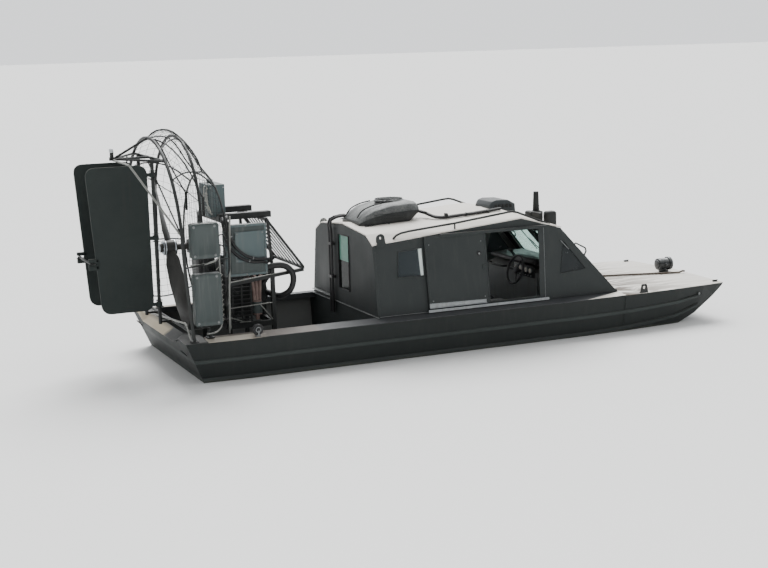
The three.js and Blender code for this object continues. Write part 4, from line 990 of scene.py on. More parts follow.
def makeCabinTrim(look):
    seals, trims, bright = [], [], []
    pane = ((0.06, 0.42), (0.78, 0.42), (0.7, 0.96), (0.06, 0.96), (0.06, 0.42))
    for side in (-1, 1):
        for window in (sideWindow, quarterWindow):
            trims.append(sideBar(side, window + window[:1], 0.003, look['seal']))
        seals.append(tube([rakePlace(side * y, v, 0.003) for y, v in pane], 0.01, False))
    aft = [(2.278, y, z) for y, z in ((-0.19, 0.8), (0.13, 0.8), (0.13, 1.45), (-0.19, 1.45), (-0.19, 0.8))]
    seals.append(bar(aft, 0.009))
    piece('window_seals', seals, blackRubber)
    for side in (-1, 1):
        post = [(4.379, 0.64), (4.452, 0.64), (4.501, 1.38), (4.51, 1.47), (4.436, 1.47), (4.429, 1.38)]
        trims.append(sheetOn(side, post, 0.0, 0.005))
        for points, out, radius in (
                ([(3.13, 1.49), (4.56, 1.49)], 0.004, 0.0045), ([(4.456, 0.65), (4.505, 1.46)], 0.003, 0.0035),
                ([(4.724, 1.291), (4.825, 1.18)], 0.008, 0.0055), ([(2.3, 0.622), (2.9, 0.622)], 0.004, 0.0045)):
            bright.append(sideBar(side, points, out, radius))
    bright.append(slab((2.262, -1.05, 0.617), (2.2795, 0.31, 0.625), 0.002))
    bright += [slab((2.236, 0.33, z), (2.2795, 0.95, z + 0.01), 0.002) for z in (0.617, 0.665)]
    piece('window_frames', trims, cabinPaint)
    piece('edge_beads', bright, dullBolt)

    template = disc((0.0, 0.0, 0.001), look['rivet'], 0.004, (0, 0, 1), 8, 0.001)
    lines = [
        ([(2.36, 0.642), (2.87, 0.642)], look['step'], 0.0), ([(4.52, 0.642), (5.36, 0.642)], look['step'], 0.0),
        (wallTop, look['step'], -0.022), ([(4.7, 1.4), (5.38, 0.66)], look['step'], 0.0),
        ([(4.505, 0.7), (4.505, 1.42)], 0.11, 0.0), ([(2.335, 0.7), (2.335, 1.38)], 0.11, 0.0)]
    for side, word in bothSides:
        places = [onSide(x, z, 0.0, side) for line in lines for x, z in alongLine(*line)]
        dress(spread('cabin_rivets_' + word, template, places, sideNormal(side)), cabinPaint)
    places = [at(2.28, y, z) for y in (-0.93, 0.93) for _, z in alongLine([(0.0, 0.66), (0.0, 1.22)], 0.1)]
    places += [at(2.28, y, 0.66) for y, _ in alongLine([(-0.88, 0.0), (0.88, 0.0)], 0.11)]
    dress(spread('bulkhead_rivets', template, places, (-1, 0, 0)), cabinPaint)
    bpy.data.objects.remove(template)

    wipers = []
    for side in (-1, 1):
        arm = ((0.4, 0.372, 0.0), (0.4, 0.372, 0.028), (0.37, 0.6, 0.03), (0.36, 0.7, 0.016))
        wipers.append(tube([rakePlace(side * y, v, out) for y, v, out in arm], 0.0055))
        wipers.append(tube([rakePlace(side * 0.36, v, 0.012) for v in (0.5, 0.92)], 0.006, False, 1))
        wipers.append(disc(rakePlace(side * 0.4, 0.372, 0.014), 0.02, 0.028, (0.753, 0, 0.658), 16, 0.004))
    piece('wipers', wipers, blackRubber)
    grab = [(4.93, 1.222), (4.959, 1.237), (5.093, 1.168), (5.104, 1.127), (5.075, 1.075)]
    grabs = [bar([(x, y, z) for x, z in grab], 0.01, 3) for y in (0.87, -0.87)]
    piece('screen_grabs', grabs, darkMetal)


makeCabinTrim(cabinLook)


# Doors: a bare metal rail along the foot, edge strips, corner screws, a round lock and an inner pull

doorLook = {'aft': 2.915, 'fore': 3.705, 'high': 1.476, 'out': 0.03, 'width': 0.022}


def makeDoor(side, word, look):
    body = 'door_' + word
    aft, fore, high, out, width = (look[key] for key in ('aft', 'fore', 'high', 'out', 'width'))
    end = fore - 0.055
    start = aft + 0.002
    rail = []
    for outline, near, far in (
            ([(start, 0.657), (end, 0.657), (end, 0.702), (start, 0.715)], out, out + 0.004),
            ([(start, 0.657), (end, 0.657), (end, 0.662), (start, 0.662)], out + 0.004, out + 0.022),
            ([(start, 0.708), (end, 0.695), (end, 0.702), (start, 0.715)], out + 0.004, out + 0.009)):
        rail.append(sheetOn(side, outline, near, far))
    piece(body + '_rail', rail, bareMetal, body)
    inner, outer = aft + width, fore - width
    strips = [sheetOn(side, outline, out, out + 0.003) for outline in (
        [(aft, 0.717), (inner, 0.717), (inner, high), (aft, high)],
        [(outer, 0.704), (fore, 0.704), (fore, high), (outer, high)],
        [(inner, high - width), (outer, high - width), (outer, high), (inner, high)])]
    lockAt = (fore - 0.102, 1.231)
    pull = ((0.98, -0.03), (0.98, -0.075), (1.14, -0.075), (1.14, -0.03))
    strips.append(tube([onSide(fore - 0.11, z, depth, side) for z, depth in pull], 0.008, False))
    piece(body + '_strips', strips, cabinPaint, body)
    ring = disc(onSide(*lockAt, out + 0.004, side), 0.028, 0.01, sideNormal(side), 28, 0.003)
    piece(body + '_lock', [ring], blackRubber, body)
    screwAt = [(aft + 0.054, 0.739), (fore - 0.065, 0.734), (aft + 0.054, 1.378), (fore - 0.065, 1.373)]
    screws = bolts(body + '_screws', 0.0055, [onSide(x, z, out, side) for x, z in screwAt], sideNormal(side))
    barrel = disc(onSide(*lockAt, out + 0.009, side), 0.012, 0.008, sideNormal(side), 20, 0.002)
    piece(body + '_screws', [screws, barrel], dullBolt, body)


for doorSide, doorWord in bothSides:
    makeDoor(doorSide, doorWord, doorLook)
print("cabin trim and doors made")


# Roof gear: the pod, the vent box, the mast and lamp, rails and conduit

podLook = {'slat': 0.006, 'edge': 3.0, 'foot': 1.7, 'tuck': 0.92, 'railAt': 0.845}


def makeRoofGear(look):
    pod = smoothCopy('air_conditioner', 'pod_shell', 38, 0.012, 3, 0.0006)
    edge = look['edge'] - station
    for vertex in pod.data.vertices:  # the fore end hangs over its foot
        if vertex.co.x > edge:
            tuck = min(1.0, max(0.0, (look['foot'] - vertex.co.z) / 0.125))
            vertex.co.x = edge + (vertex.co.x - edge) * (1.0 - tuck * look['tuck'])
    dress(pod, podPaint)
    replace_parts(pod, 'air_conditioner')
    grille = []
    for i in range(9):
        reach = 0.15 * math.sqrt(max(0.02, 1.0 - ((i - 4) / 4.8) ** 2))
        y = (i - 4) * 0.032
        low, high = (2.89 - reach * 1.1, y - look['slat'], 1.8385), (2.89 + reach * 1.1, y + look['slat'], 1.847)
        grille.append(slab(low, high, 0.002, 1))
    for side in (-1, 1):
        for z in (1.64, 1.668, 1.696):
            groove = [(2.56, side * 0.331, z), (2.8, side * 0.333, z + 0.004), (2.97, side * 0.33, z)]
            grille.append(hose(groove, 0.004, 1))
    for y in (-0.17, 0.17):
        grille.append(hose([(2.405, y, 1.66), (2.46, y, 1.728), (2.56, y, 1.778), (2.72, y, 1.812)], 0.008))
    piece('pod_grille', grille, darkMetal)
    feet = [at(x, side * 0.338, 1.578) for x in (2.47, 2.74, 2.96) for side in (-1, 1)]
    plinth = [
        slab((2.43, side * 0.335 - 0.02, 1.545), (3.02, side * 0.335 + 0.02, 1.575), 0.006) for side in (-1, 1)]
    plinth.append(bolts('pod_bolts', 0.009, feet, (0, 0, 1)))
    piece('pod_plinth', plinth, darkMetal)

    renewed('roof_vent', 'vent_shell', ventPaint, 30, 0.008, 2, 0.0006)
    slats = []
    for side in (-1, 1):
        for i in range(5):
            x, y = 4.19 + i * 0.05, -0.06 + side * 0.204
            slats.append(slab((x, y - 0.004, 1.655), (x + 0.03, y + 0.004, 1.7), 0.002, 1))
    piece('vent_slats', slats, darkMetal)

    for side, word in bothSides:
        path = [
            (2.553, 1.45), (2.568, 1.486), (2.6, 1.515), (2.661, 1.537), (2.76, 1.551), (3.346, 1.599),
            (4.05, 1.676), (4.11, 1.679), (4.175, 1.664), (4.61, 1.49)]
        y = side * look['railAt']
        made = [bar([(x, y, z) for x, z in path], 0.013, 3), bar([(3.346, y, 1.5), (3.346, y, 1.595)], 0.01, 3)]
        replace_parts(piece('rail_' + word, made, darkMetal), 'roof_rail_' + word)
    bpy.ops.mesh.primitive_cone_add(
        vertices=28, radius1=0.041, radius2=0.032, depth=0.25, location=at(4.69, -0.39, 1.715))
    sleeve = bpy.context.object
    applyPlace(sleeve)
    bevelEdges(sleeve, 0.008, 3)
    smoothBy(sleeve, 40)
    mast = [
        sleeve, slab((4.57, -0.46, 1.455), (4.748, -0.32, 1.6), 0.008),
        slab((4.585, -0.64, 1.545), (4.64, -0.32, 1.605), 0.006)]
    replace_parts(piece('mast_tube', mast, darkMetal), 'mast')
    lamp = [slab((4.665, -0.7, 1.405), (4.808, -0.585, 1.622), 0.034, 4)]
    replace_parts(piece('corner_lamp_body', lamp, darkMetal), 'corner_lamp')
    rod = [
        (5.786, -0.03, 0.636), (6.2, -0.145, 0.634), (6.6, -0.257, 0.631), (6.86, -0.326, 0.63),
        (6.905, -0.338, 0.648), (6.93, -0.345, 0.643)]
    pole = [bar(rod, 0.0125, 3)]
    for x, y in ((5.86, -0.051), (6.62, -0.262)):
        pole.append(slab((x - 0.012, y - 0.022, 0.612), (x + 0.012, y + 0.022, 0.64), 0.003))
    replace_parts(piece('pole', pole, poleWood), 'bow_pole')
    for node, name in (
            ('roof_conduit', 'conduit'), ('cooling_hoses', 'roof_hoses'), ('radiator_hose', 'coolant_hose')):
        renewed(node, name, blackRubber, 55)

    caps = [disc(at(4.69, -0.39, z), 0.0415, 0.008, (0, 0, 1), 28, 0.002) for z in (1.63, 1.66)]
    caps.append(disc(at(4.69, -0.39, 1.604), 0.05, 0.008, (0, 0, 1), 28, 0.002))
    lugs = []
    for side in (-1, 1):
        arch = [(2.39 + 0.046 * math.cos(a), 1.505 + 0.046 * math.sin(a)) for a in turns(20, 10)]
        outline = [(2.326, 1.405), (2.456, 1.405), (2.44, 1.45)] + arch + [(2.34, 1.45)]
        cheek = sheetOn(side, outline, 0.006, 0.018, 0)
        cutter = disc(onSide(2.39, 1.505, 0.012, side), 0.021, 0.06, sideNormal(side), 24, 0)
        lugs.append(pierced(cheek, cutter))
    piece('lug_cheeks', lugs, cabinPaint)
    clips = []
    conduit = [
        (3.182, -0.15, 1.69), (3.33, -0.42, 1.674), (3.6, -0.47, 1.655), (3.9, -0.46, 1.66),
        (4.18, -0.42, 1.665)]
    for share in (0.12, 0.35, 0.58, 0.82):
        x, y, z = curveThrough(conduit, share)
        clips.append(slab((x - 0.012, y - 0.034, z - 0.028), (x + 0.012, y + 0.034, z + 0.006), 0.004, 1))
    for side in (-1, 1):
        clips.append(disc(at(3.346, side * look['railAt'], 1.512), 0.022, 0.008, (0, 0.15 * side, 1), 16, 0.002))
    piece('roof_fittings', caps + clips, darkMetal)
    piece('corner_lamp_lens', [slab((4.8065, -0.662, 1.46), (4.812, -0.623, 1.57), 0.002)], lampGlass)


makeRoofGear(podLook)
print("roof gear made")


# Foredeck gear: searchlight, deck plate and small fittings

lampLook = {'lens': 0.07, 'axis': 0.725, 'x': 6.758, 'y': -0.12}


def makeSearchlight(look):
    x, y, z = look['x'], look['y'], look['axis']
    renewed('searchlight_head', 'lamp_head', lampPaint, 35, 0.003, 2, body='searchlight')
    lens = disc(at(x + 0.088, y, z), look['lens'], 0.006, (1, 0, 0), 36, 0.002)
    insetFaces(lens, (1, 0, 0), (0.012, 0.002), (0.016, 0.0015))
    piece('lamp_lens', [lens], lampGlass, 'searchlight')
    trim = []
    for i in range(6):
        angle = math.radians(60 * i + 30)
        trim.append(at(x + 0.092, y + 0.0795 * math.cos(angle), z + 0.0795 * math.sin(angle)))
    dress(bolts('lamp_screws', 0.0035, trim, (1, 0, 0)), bareMetal, 'searchlight')
    fins = [disc(at(x - 0.075 + 0.018 * i, y, z), 0.0765, 0.005, (1, 0, 0), 32, 0.0015) for i in range(5)]
    pivots = [disc(at(x - 0.01, y + side * 0.081, z), 0.02, 0.014, (0, 1, 0), 18, 0.003) for side in (-1, 1)]
    skirt = disc(at(x, y, 0.657), 0.05, 0.03, (0, 0, 1), 32, 0.006)
    piece('lamp_fins', fins + pivots + [skirt], lampPaint, 'searchlight')


makeSearchlight(lampLook)


def makeForedeck():
    rows = [(5.4803, 1.182), (5.6, 1.178), (6.3, 1.128), (6.7, 1.094), (6.93, 1.07), (6.996, 1.0623)]
    bpy.ops.mesh.primitive_grid_add(x_subdivisions=len(rows) - 1, y_subdivisions=24, size=1.0)
    plate = bpy.context.object
    for vertex in plate.data.vertices:
        x, half = rows[round((vertex.co.x + 0.5) * (len(rows) - 1))]
        share = vertex.co.y * 2
        vertex.co = at(x, half * share, 0.5963 + 0.026 * (1.0 - abs(share)))
    modified(plate, 'SOLIDIFY', thickness=0.006, offset=-1.0)
    smoothBy(plate, 20)
    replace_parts(piece('foredeck_plate', [plate], foredeckPaint), 'foredeck')


def makeDeckFittings():
    cleats = []
    for x, y in ((6.885, 0.945), (6.93, -0.985)):
        cleats.append(slab((x - 0.03, y - 0.014, 0.598), (x + 0.03, y + 0.014, 0.612), 0.003))
        cleats.append(slab((x - 0.04, y - 0.008, 0.612), (x + 0.04, y + 0.008, 0.622), 0.004))
        cleats.append(bolts('cleat_bolts', 0.004, [at(x + dx, y, 0.622) for dx in (-0.014, 0.014)], (0, 0, 1)))
    for side in (-1, 1):
        lug = slab((5.692, side * 1.158 - 0.007, 0.596), (5.806, side * 1.158 + 0.007, 0.702), 0.0)
        editToward(lug, (0, 0, 1))
        bpy.ops.transform.resize(value=(0.58, 1.0, 1.0))
        leaveEdit()
        cutter = disc(at(5.749, side * 1.158, 0.66), 0.02, 0.06, (0, 1, 0), 24, 0)
        cleats.append(pierced(lug, cutter))
        cleats.append(slab((5.7, side * 1.14 - 0.022, 0.596), (5.798, side * 1.14 + 0.022, 0.6025), 0.002))
    piece('deck_cleats', cleats, darkMetal)
    x, y = lampLook['x'], lampLook['y']
    ring = [at(x + 0.058 * math.cos(a), y + 0.058 * math.sin(a), 0.6335) for a in (0.8, 2.4, 3.9, 5.5)]
    base = [disc(at(x, y, 0.6335), 0.066, 0.006, (0, 0, 1), 32, 0.002)]
    base.append(bolts('lamp_bolts', 0.004, ring, (0, 0, 1)))
    piece('deck_fittings', base, darkMetal)
    markers = [disc(at(6.615, side * 1.087, 0.492), 0.016, 0.012, (0, side, 0.1), 20, 0.003) for side in (-1, 1)]
    piece('bow_markers', markers, dullBolt)
    beads = []
    for side in (-1, 1):
        for points, radius in (
                ([(0.002, 1.16, 0.585), (0.1, 1.132, 0.36), (0.248, 1.081, 0.004)], 0.005),
                ([(5.48, 1.173, 0.585), (5.48, 1.135, 0.3), (5.48, 1.0895, 0.022)], 0.0035),
                ([(6.994, 1.05, 0.585), (6.986, 1.034, 0.548)], 0.004)):
            beads.append(hose([(x, side * y, z) for x, y, z in points], radius, 1))
    piece('weld_beads', beads, hullPaint)


makeForedeck()
makeDeckFittings()
print("foredeck gear made")


# Stern: rudders' rivets, clevises and hinge rings, the stern light, the pale bar and the stay

rudderLook = {'rivet': 0.0045, 'step': 0.1, 'across': 0.3, 'half': 0.013, 'rod': 1.4065}


def makeRudders(look):
    template = disc((0.0, 0.0, 0.001), look['rivet'], 0.004, (0, 0, 1), 8, 0.001)
    for side, word in bothSides:
        body = 'rudder_' + word
        y = side * look['across']
        for face in (-1, 1):
            skin = y + face * look['half']
            places = []
            for z in (0.99, 1.3, 1.64, 2.0, 2.33):
                reach = -0.7 if z > 1.2 else -0.6
                places += [at(x, skin, z) for x, _ in alongLine([(reach, 0.0), (-0.13, 0.0)], look['step'])]
            places += [at(-0.125, skin, z) for z, _ in alongLine([(0.88, 0.0), (2.4, 0.0)], look['step'])]
            name = body + ('_rivets_out' if face == side else '_rivets_in')
            dress(spread(name, template, places, (0, face, 0)), rudderPaint, body)
        clevis = [slab((x0, y - 0.018, z0), (x1, y + 0.018, z1), bevel) for x0, x1, z0, z1, bevel in (
            (-0.799, -0.69, 1.338, 1.386, 0.006), (-0.799, -0.69, 1.424, 1.462, 0.006),
            (-0.722, -0.686, 1.35, 1.452, 0.004))]
        piece(body + '_clevis', clevis, rudderPaint, body)
        rings = [
            disc(at(-0.045, y, z + dz), 0.0385, 0.006, (0, 0, 1), 24, 0.002)
            for z in (0.9, 1.64, 2.33) for dz in (-0.042, 0.042)]
        piece(body + '_hinges', rings, darkMetal, body)
    bpy.data.objects.remove(template)
    ends = [disc(at(-0.77, side * look['across'], 1.4165), 0.014, 0.006, (0, 0, 1), 18, 0.002) for side in (-1, 1)]
    ends += [bar([(-0.77, s * 0.27, look['rod']), (-0.77, s * 0.2, look['rod'])], 0.0105, 3) for s in (-1, 1)]
    piece('tie_rod_ends', ends, darkMetal, 'tie_rod')


makeRudders(rudderLook)


def makeStern():
    renewed('rudder_frame', 'rudder_tubes', darkMetal, 48)
    piece('stern_light', [disc(at(-0.415, 0.0, 2.592), 0.024, 0.045, (0, 0, 1), 24, 0.008)], lampGlass)
    stays = [
        bar([
            (0.06, -1.12, 0.64), (0.034, -1.085, 0.79), (0.03, -1.04, 0.8), (0.03, 1.04, 0.615),
            (0.045, 1.11, 0.605)], 0.01, 3),
        bar([(-0.4, 0.0, 2.49), (-0.405, -0.752, 2.483)], 0.011, 3),
        bar([(-0.405, -0.748, 2.487), (0.0, -1.206, 1.745)], 0.011, 3)]
    piece('stern_tubes', stays, paleTube)
    fittings = [disc(at(0.205, y, 0.085), 0.03, 0.016, (-0.92, 0, -0.39), 24, 0.004) for y in (-0.62, 0.62)]
    for y in (-0.95, 0.95):
        eye = [
            (0.042 - 0.03 * math.cos(a) - 0.02, y + 0.032 * math.sin(a), 0.46 + 0.032 * math.cos(a))
            for a in turns(30, 13)]
        fittings.append(hose(eye, 0.006))
    piece('transom_fittings', fittings, darkMetal)


makeStern()
print("stern made")


# Propeller: rounded blades and a polished hub plate with bolts

def makePropeller():
    renewed('propeller', 'propeller_blades', bladePaint, 42, 0.0, 2, 0.0004, body='propeller')
    shaft = cageLook['shaft']
    cap = [
        disc(at(0.1075, 0.0, shaft), 0.08, 0.006, (1, 0, 0), 40, 0.002),
        disc(at(0.069, 0.0, shaft), 0.046, 0.006, (1, 0, 0), 32, 0.003)]
    ring = [at(0.1045, 0.064 * math.cos(a), shaft + 0.064 * math.sin(a)) for a in turns(60, 6)]
    cap.append(bolts('hub_bolts', 0.0075, ring, (-1, 0, 0)))
    cap += [disc(at(x, 0.0, shaft), 0.0845, 0.012, (1, 0, 0), 40, 0.003) for x in (0.128, 0.237)]
    piece('propeller_hub', cap, polished, 'propeller')


makePropeller()
print("propeller made")


# Engine: ribbed covers, leads, pulleys and belt, air filter, coolers and exhaust sleeves

engineLook = {'bank': 0.75, 'lead': 0.0065, 'fin': 0.008, 'cooler': 0.468, 'sleeve': 0.445}


def makeEngine(look):
    renewed('engine', 'engine_block', darkMetal, 34, 0.007, 2, 0.0006)
    renewed('drive_housing', 'drive_case', darkMetal, 34, 0.006, 2, 0.0006)
    for _, word in bothSides:
        renewed('exhaust_' + word, 'pipes_' + word, rustyPipe, 50)

    covers, nuts, leads, manifolds = [], [], [], []
    for side in (1, -1):
        turn = Matrix.Rotation(-side * look['bank'], 4, 'X')
        onBank = Matrix.Translation(at(0.96, side * -0.25, 1.13)) @ turn
        normal = turn @ Vector((0.0, 0.0, 1.0))
        cover = block((-0.262, -0.078, 0.07), (0.262, 0.078, 0.112), 0.016, 3)
        ribs = [
            block((-0.23 + 0.046 * i, -0.055, 0.106), (-0.212 + 0.046 * i, 0.055, 0.122), 0.004, 1)
            for i in range(11)]
        cover = joinAll('cover', [cover] + ribs)
        cover.data.transform(onBank)
        covers.append(cover)
        for dx in (-0.245, -0.08, 0.08, 0.245):
            for dy in (-0.068, 0.068):
                nuts.append((tuple(onBank @ Vector((dx, dy, 0.11))), tuple(normal)))
        for i in range(4):
            dx = -0.19 + 0.127 * i
            plug = onBank @ Vector((dx, -side * 0.097, -0.01))
            crown = Vector(at(0.79 + 0.012 * i, side * -0.03, 1.275))
            middle = plug.lerp(crown, 0.5) + Vector((0.0, side * -0.05, 0.07 + 0.012 * i))
            boot = plug + Vector((0.0, side * -0.03, -0.01 + 0.01 * i))
            leads.append(tube([tuple(knot) for knot in (plug, boot, middle, crown)], look['lead'], sides=1))
        for i in range(3):
            port = at(1.04 + (i - 1) * 0.0836, side * -0.352, 1.112)
            manifolds.append(disc(port, 0.033, 0.012, (0, side * -0.9, -0.45), 16, 0.003))
    piece('valve_covers', covers, greyBox, 'boat')
    template = boltShape(0.0065)
    heads = [spread('head', template, [place], normal) for place, normal in nuts]
    bpy.data.objects.remove(template)
    piece('cover_bolts', heads, bareMetal)
    leads.append(bar([(0.79, 0.0, 1.26), (0.79, 0.0, 1.305)], 0.045, 3))
    piece('plug_leads', leads, blackRubber)
    piece('exhaust_flanges', manifolds, rustyPipe)

    lid = [disc(at(0.88, 0.0, z), radius, depth, (0, 0, 1), sides, bevel) for z, radius, depth, sides, bevel in (
        (1.337, 0.118, 0.014, 40, 0.004), (1.349, 0.016, 0.018, 6, 0.002), (1.243, 0.118, 0.01, 40, 0.003))]
    for a in turns(12, 30):
        lid.append(block((-0.0025, -0.0025, 1.248), (0.0025, 0.0025, 1.332), 0.0))
        lid[-1].data.transform(Matrix.Translation(at(0.88 + 0.1135 * math.cos(a), 0.1135 * math.sin(a), 0.0)))
    piece('air_filter', lid, bareMetal)

    pulleys = []
    for y, z, r, x in ((0.0, 0.86, 0.1, 1.2925), (0.15, 1.01, 0.06, 1.2825)):
        pulleys.append(disc(at(x, y, z), r * 0.86, 0.006, (1, 0, 0), 36, 0.002))
        pulleys.append(disc(at(x + 0.004, y, z), r * 0.3, 0.016, (1, 0, 0), 24, 0.003))
        for a in turns(72, 5):
            place = at(x + 0.004, y + r * 0.55 * math.cos(a), z + r * 0.55 * math.sin(a))
            pulleys.append(disc(place, 0.009, 0.01, (1, 0, 0), 6, 0.0015))
    piece('pulley_faces', pulleys, bareMetal)
    loop = []
    for y, z, r, first, last in ((0.0, 0.86, 0.103, 152, 348), (0.15, 1.01, 0.063, -12, 152)):
        for i in range(13):
            a = math.radians(first + (last - first) * i / 12)
            loop.append(at(1.262, y + r * math.cos(a), z + r * math.sin(a)))
    loop.append(loop[0])
    piece('drive_belt', [tube(loop, 0.006, False, 1)], blackRubber)

    cooler = [(0.735, 0.975, 0.014, 0.655 + i * 0.046, 0.655 + i * 0.046 + look['fin']) for i in range(11)]
    cooler += [(x - 0.008, x + 0.008, 0.01, 0.633, 1.145) for x in (0.748, 0.855, 0.962)]
    cooler += [(0.735, 0.975, 0.012, 0.63, 0.642), (0.735, 0.975, 0.012, 1.14, 1.154)]
    fins = [
        slab((x0, y - half, z0), (x1, y + half, z1), 0.002, 1)
        for y in (-look['cooler'], look['cooler']) for x0, x1, half, z0, z1 in cooler]
    piece('oil_cooler_fins', fins, darkMetal)

    rings = ((0.78, 0.0545, 0.13, 0.006), (0.722, 0.0575, 0.014, 0.003), (0.838, 0.0575, 0.014, 0.003))
    sleeves = [
        disc(at(1.04, y, z), radius, depth, (0, 0, 1), 32, bevel)
        for y in (-look['sleeve'], look['sleeve']) for z, radius, depth, bevel in rings]
    piece('exhaust_sleeves', sleeves, greyBox, 'boat')


makeEngine(engineLook)
print("engine made")


# Engine stand: the tubes, the covers of its planks, and its feet

standLook = {'plank': 0.34, 'leg': 0.5, 'plankCut': 0.6, 'shorter': 0.262}


def makeStand(look):
    shell = smoothCopy('engine_stand', 'stand_frame', 40, 0.003, 1, 0.0006)
    for vertex in shell.data.vertices:  # the planks end just aft of the uprights
        if vertex.co.z > 1.778 and vertex.co.x < look['plankCut'] - station:
            vertex.co.x += look['shorter']
    dress(shell, darkMetal)
    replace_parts(shell, 'engine_stand')
    planks = []
    for y in (-look['plank'], look['plank']):
        planks.append(slab((0.66, y - 0.047, 1.8425), (1.266, y + 0.047, 1.85), 0.003, 2))
        planks.append(slab((1.2625, y - 0.049, 1.78), (1.2675, y + 0.049, 1.846), 0.002, 1))
    piece('plank_covers', planks, blackRubber)
    feet = []
    legs = (-look['leg'], look['leg'])
    for x in (0.69, 1.215):
        for y in legs:
            feet.append(slab((x - 0.06, y - 0.05, 0.0585), (x + 0.06, y + 0.05, 0.067), 0.002))
            feet.append(bolts('foot_bolts', 0.008, corners(x, y, 0.067, 0.045, 0.036), (0, 0, 1)))
    for y in legs:
        for x, z, s in ((0.712, 1.048, 1), (1.193, 1.128, -1), (0.712, 0.64, 1), (1.193, 0.64, -1)):
            feet.append(bar([(x, y, z), (x + s * 0.09, y, z + (0.09 if z < 0.7 else -0.09))], 0.01, 1))
    piece('stand_feet', feet, darkMetal)


makeStand(standLook)


# Tanks: shells, lid and panel, hoses with clamps, and the wires on the header tank

tankLook = {'hose': 0.017, 'face': -0.632}


def makeTanks(look):
    face = look['face']
    renewed('side_tank', 'tank_shell', greyBox, 34, 0.01, 3, 0.0006)
    renewed('header_tank', 'header_shell', paleBox, 34, 0.01, 3, 0.0006)
    panel = slab((0.752, face - 0.004, 1.335), (1.09, face + 0.001, 1.672), 0.002)
    insetFaces(panel, (0, -1, 0), (0.012, 0.0), (0.004, -0.0025))
    rims = [slab((x0, -0.626, z0), (x1, -0.622, z1), 0.0015) for x0, z0, x1, z1 in (
        (0.64, 1.726, 1.12, 1.75), (0.64, 1.18, 1.12, 1.204), (0.64, 1.204, 0.664, 1.726),
        (1.096, 1.204, 1.12, 1.726))]
    piece('tank_panel', [panel] + rims, paleBox)
    outer = [
        (0.612, -0.65, 1.79), (0.64, -0.655, 1.666), (0.668, -0.656, 1.542), (0.745, -0.656, 1.436),
        (0.849, -0.656, 1.361), (0.952, -0.656, 1.329), (1.06, -0.65, 1.322), (1.112, -0.61, 1.3),
        (1.135, -0.55, 1.27)]
    inner = [(x + 0.045, y + 0.002, z + 0.03) for x, y, z in outer[:-2]]
    inner += [(1.14, -0.612, 1.33), (1.16, -0.55, 1.3)]
    hoses = [hose(points, look['hose'], 3) for points in (
        [(0.64, -0.56, 1.828)] + outer, [(0.69, -0.56, 1.842)] + inner)]
    drain = [(0.66, -0.6, 1.18), (0.655, -0.6, 1.12), (0.67, -0.57, 1.02), (0.72, -0.5, 0.95), (0.76, -0.4, 0.93)]
    hoses.append(hose(drain, 0.013, 3))
    piece('tank_hoses', hoses, blackRubber)
    around = (
        (0.652, 1.738), (1.108, 1.738), (0.652, 1.192), (1.108, 1.192), (0.88, 1.738), (0.88, 1.192), (0.652, 1.46),
        (1.108, 1.46))
    heads = bolts('tank_bolts', 0.0075, [at(x, -0.626, z) for x, z in around], (0, -1, 0))
    onPanel = [at(x, face - 0.003, z) for z in (1.652, 1.355) for x in (0.772, 1.07)]
    corner = bolts('panel_bolts', 0.006, onPanel, (0, -1, 0))
    clamps = []
    for x, y, z, tx, tz in ((0.655, -0.656, 1.605, 0.2, -1), (0.7, -0.655, 1.632, 0.2, -1),
            (0.9, -0.656, 1.345, 1, -0.35), (0.945, -0.655, 1.375, 1, -0.35)):
        clamps.append(disc(at(x, y, z), look['hose'] + 0.0025, 0.012, (tx, 0, tz), 24, 0.002))
    piece('tank_bolts', [heads, corner] + clamps, dullBolt)

    strip = [
        slab((0.7, -0.1935, 1.815), (0.735, -0.1895, 2.15), 0.001),
        slab((0.62, -0.1925, 1.99), (0.79, -0.1895, 2.0), 0.001)]
    piece('header_strip', strip, paleBox)
    cap = [
        disc(at(0.7, 0.06, 2.196), 0.04, 0.016, (0, 0, 1), 32, 0.004),
        slab((0.685, 0.052, 2.2), (0.715, 0.068, 2.214), 0.003)]
    places = [at(x, -0.19, z) for x in (0.63, 0.78) for z in (1.83, 2.13)]
    cap.append(bolts('header_bolts', 0.006, places, (0, -1, 0)))
    piece('header_cap', cap, bareMetal)
    wires = [
        [(0.61, -0.17, 2.12), (0.585, -0.2, 2.13), (0.575, -0.23, 2.05), (0.572, -0.26, 1.96), (0.57, -0.3, 1.88),
        (0.6, -0.33, 1.852)],
        [(0.61, -0.15, 2.06), (0.575, -0.19, 2.08), (0.56, -0.24, 2.0), (0.585, -0.27, 1.92), (0.6, -0.3, 1.85)],
        [(0.61, -0.12, 1.98), (0.56, -0.18, 2.0), (0.545, -0.22, 2.08), (0.56, -0.19, 2.15), (0.612, -0.12, 2.14)],
        [(0.61, -0.1, 1.9), (0.55, -0.16, 1.89), (0.54, -0.24, 1.94), (0.575, -0.31, 1.9), (0.59, -0.34, 1.85)]]
    piece('header_wires', [hose(points, 0.0055) for points in wires], paleCable)


makeTanks(tankLook)
print("tanks made")


# Equipment boxes: lids, bolts, braces, lacing, and the tubes and cables that lead from them

boxLook = {'bolt': 0.0095, 'wire': 0.0034, 'pitch': 0.052, 'inset': 0.03, 'face': -1.2095}


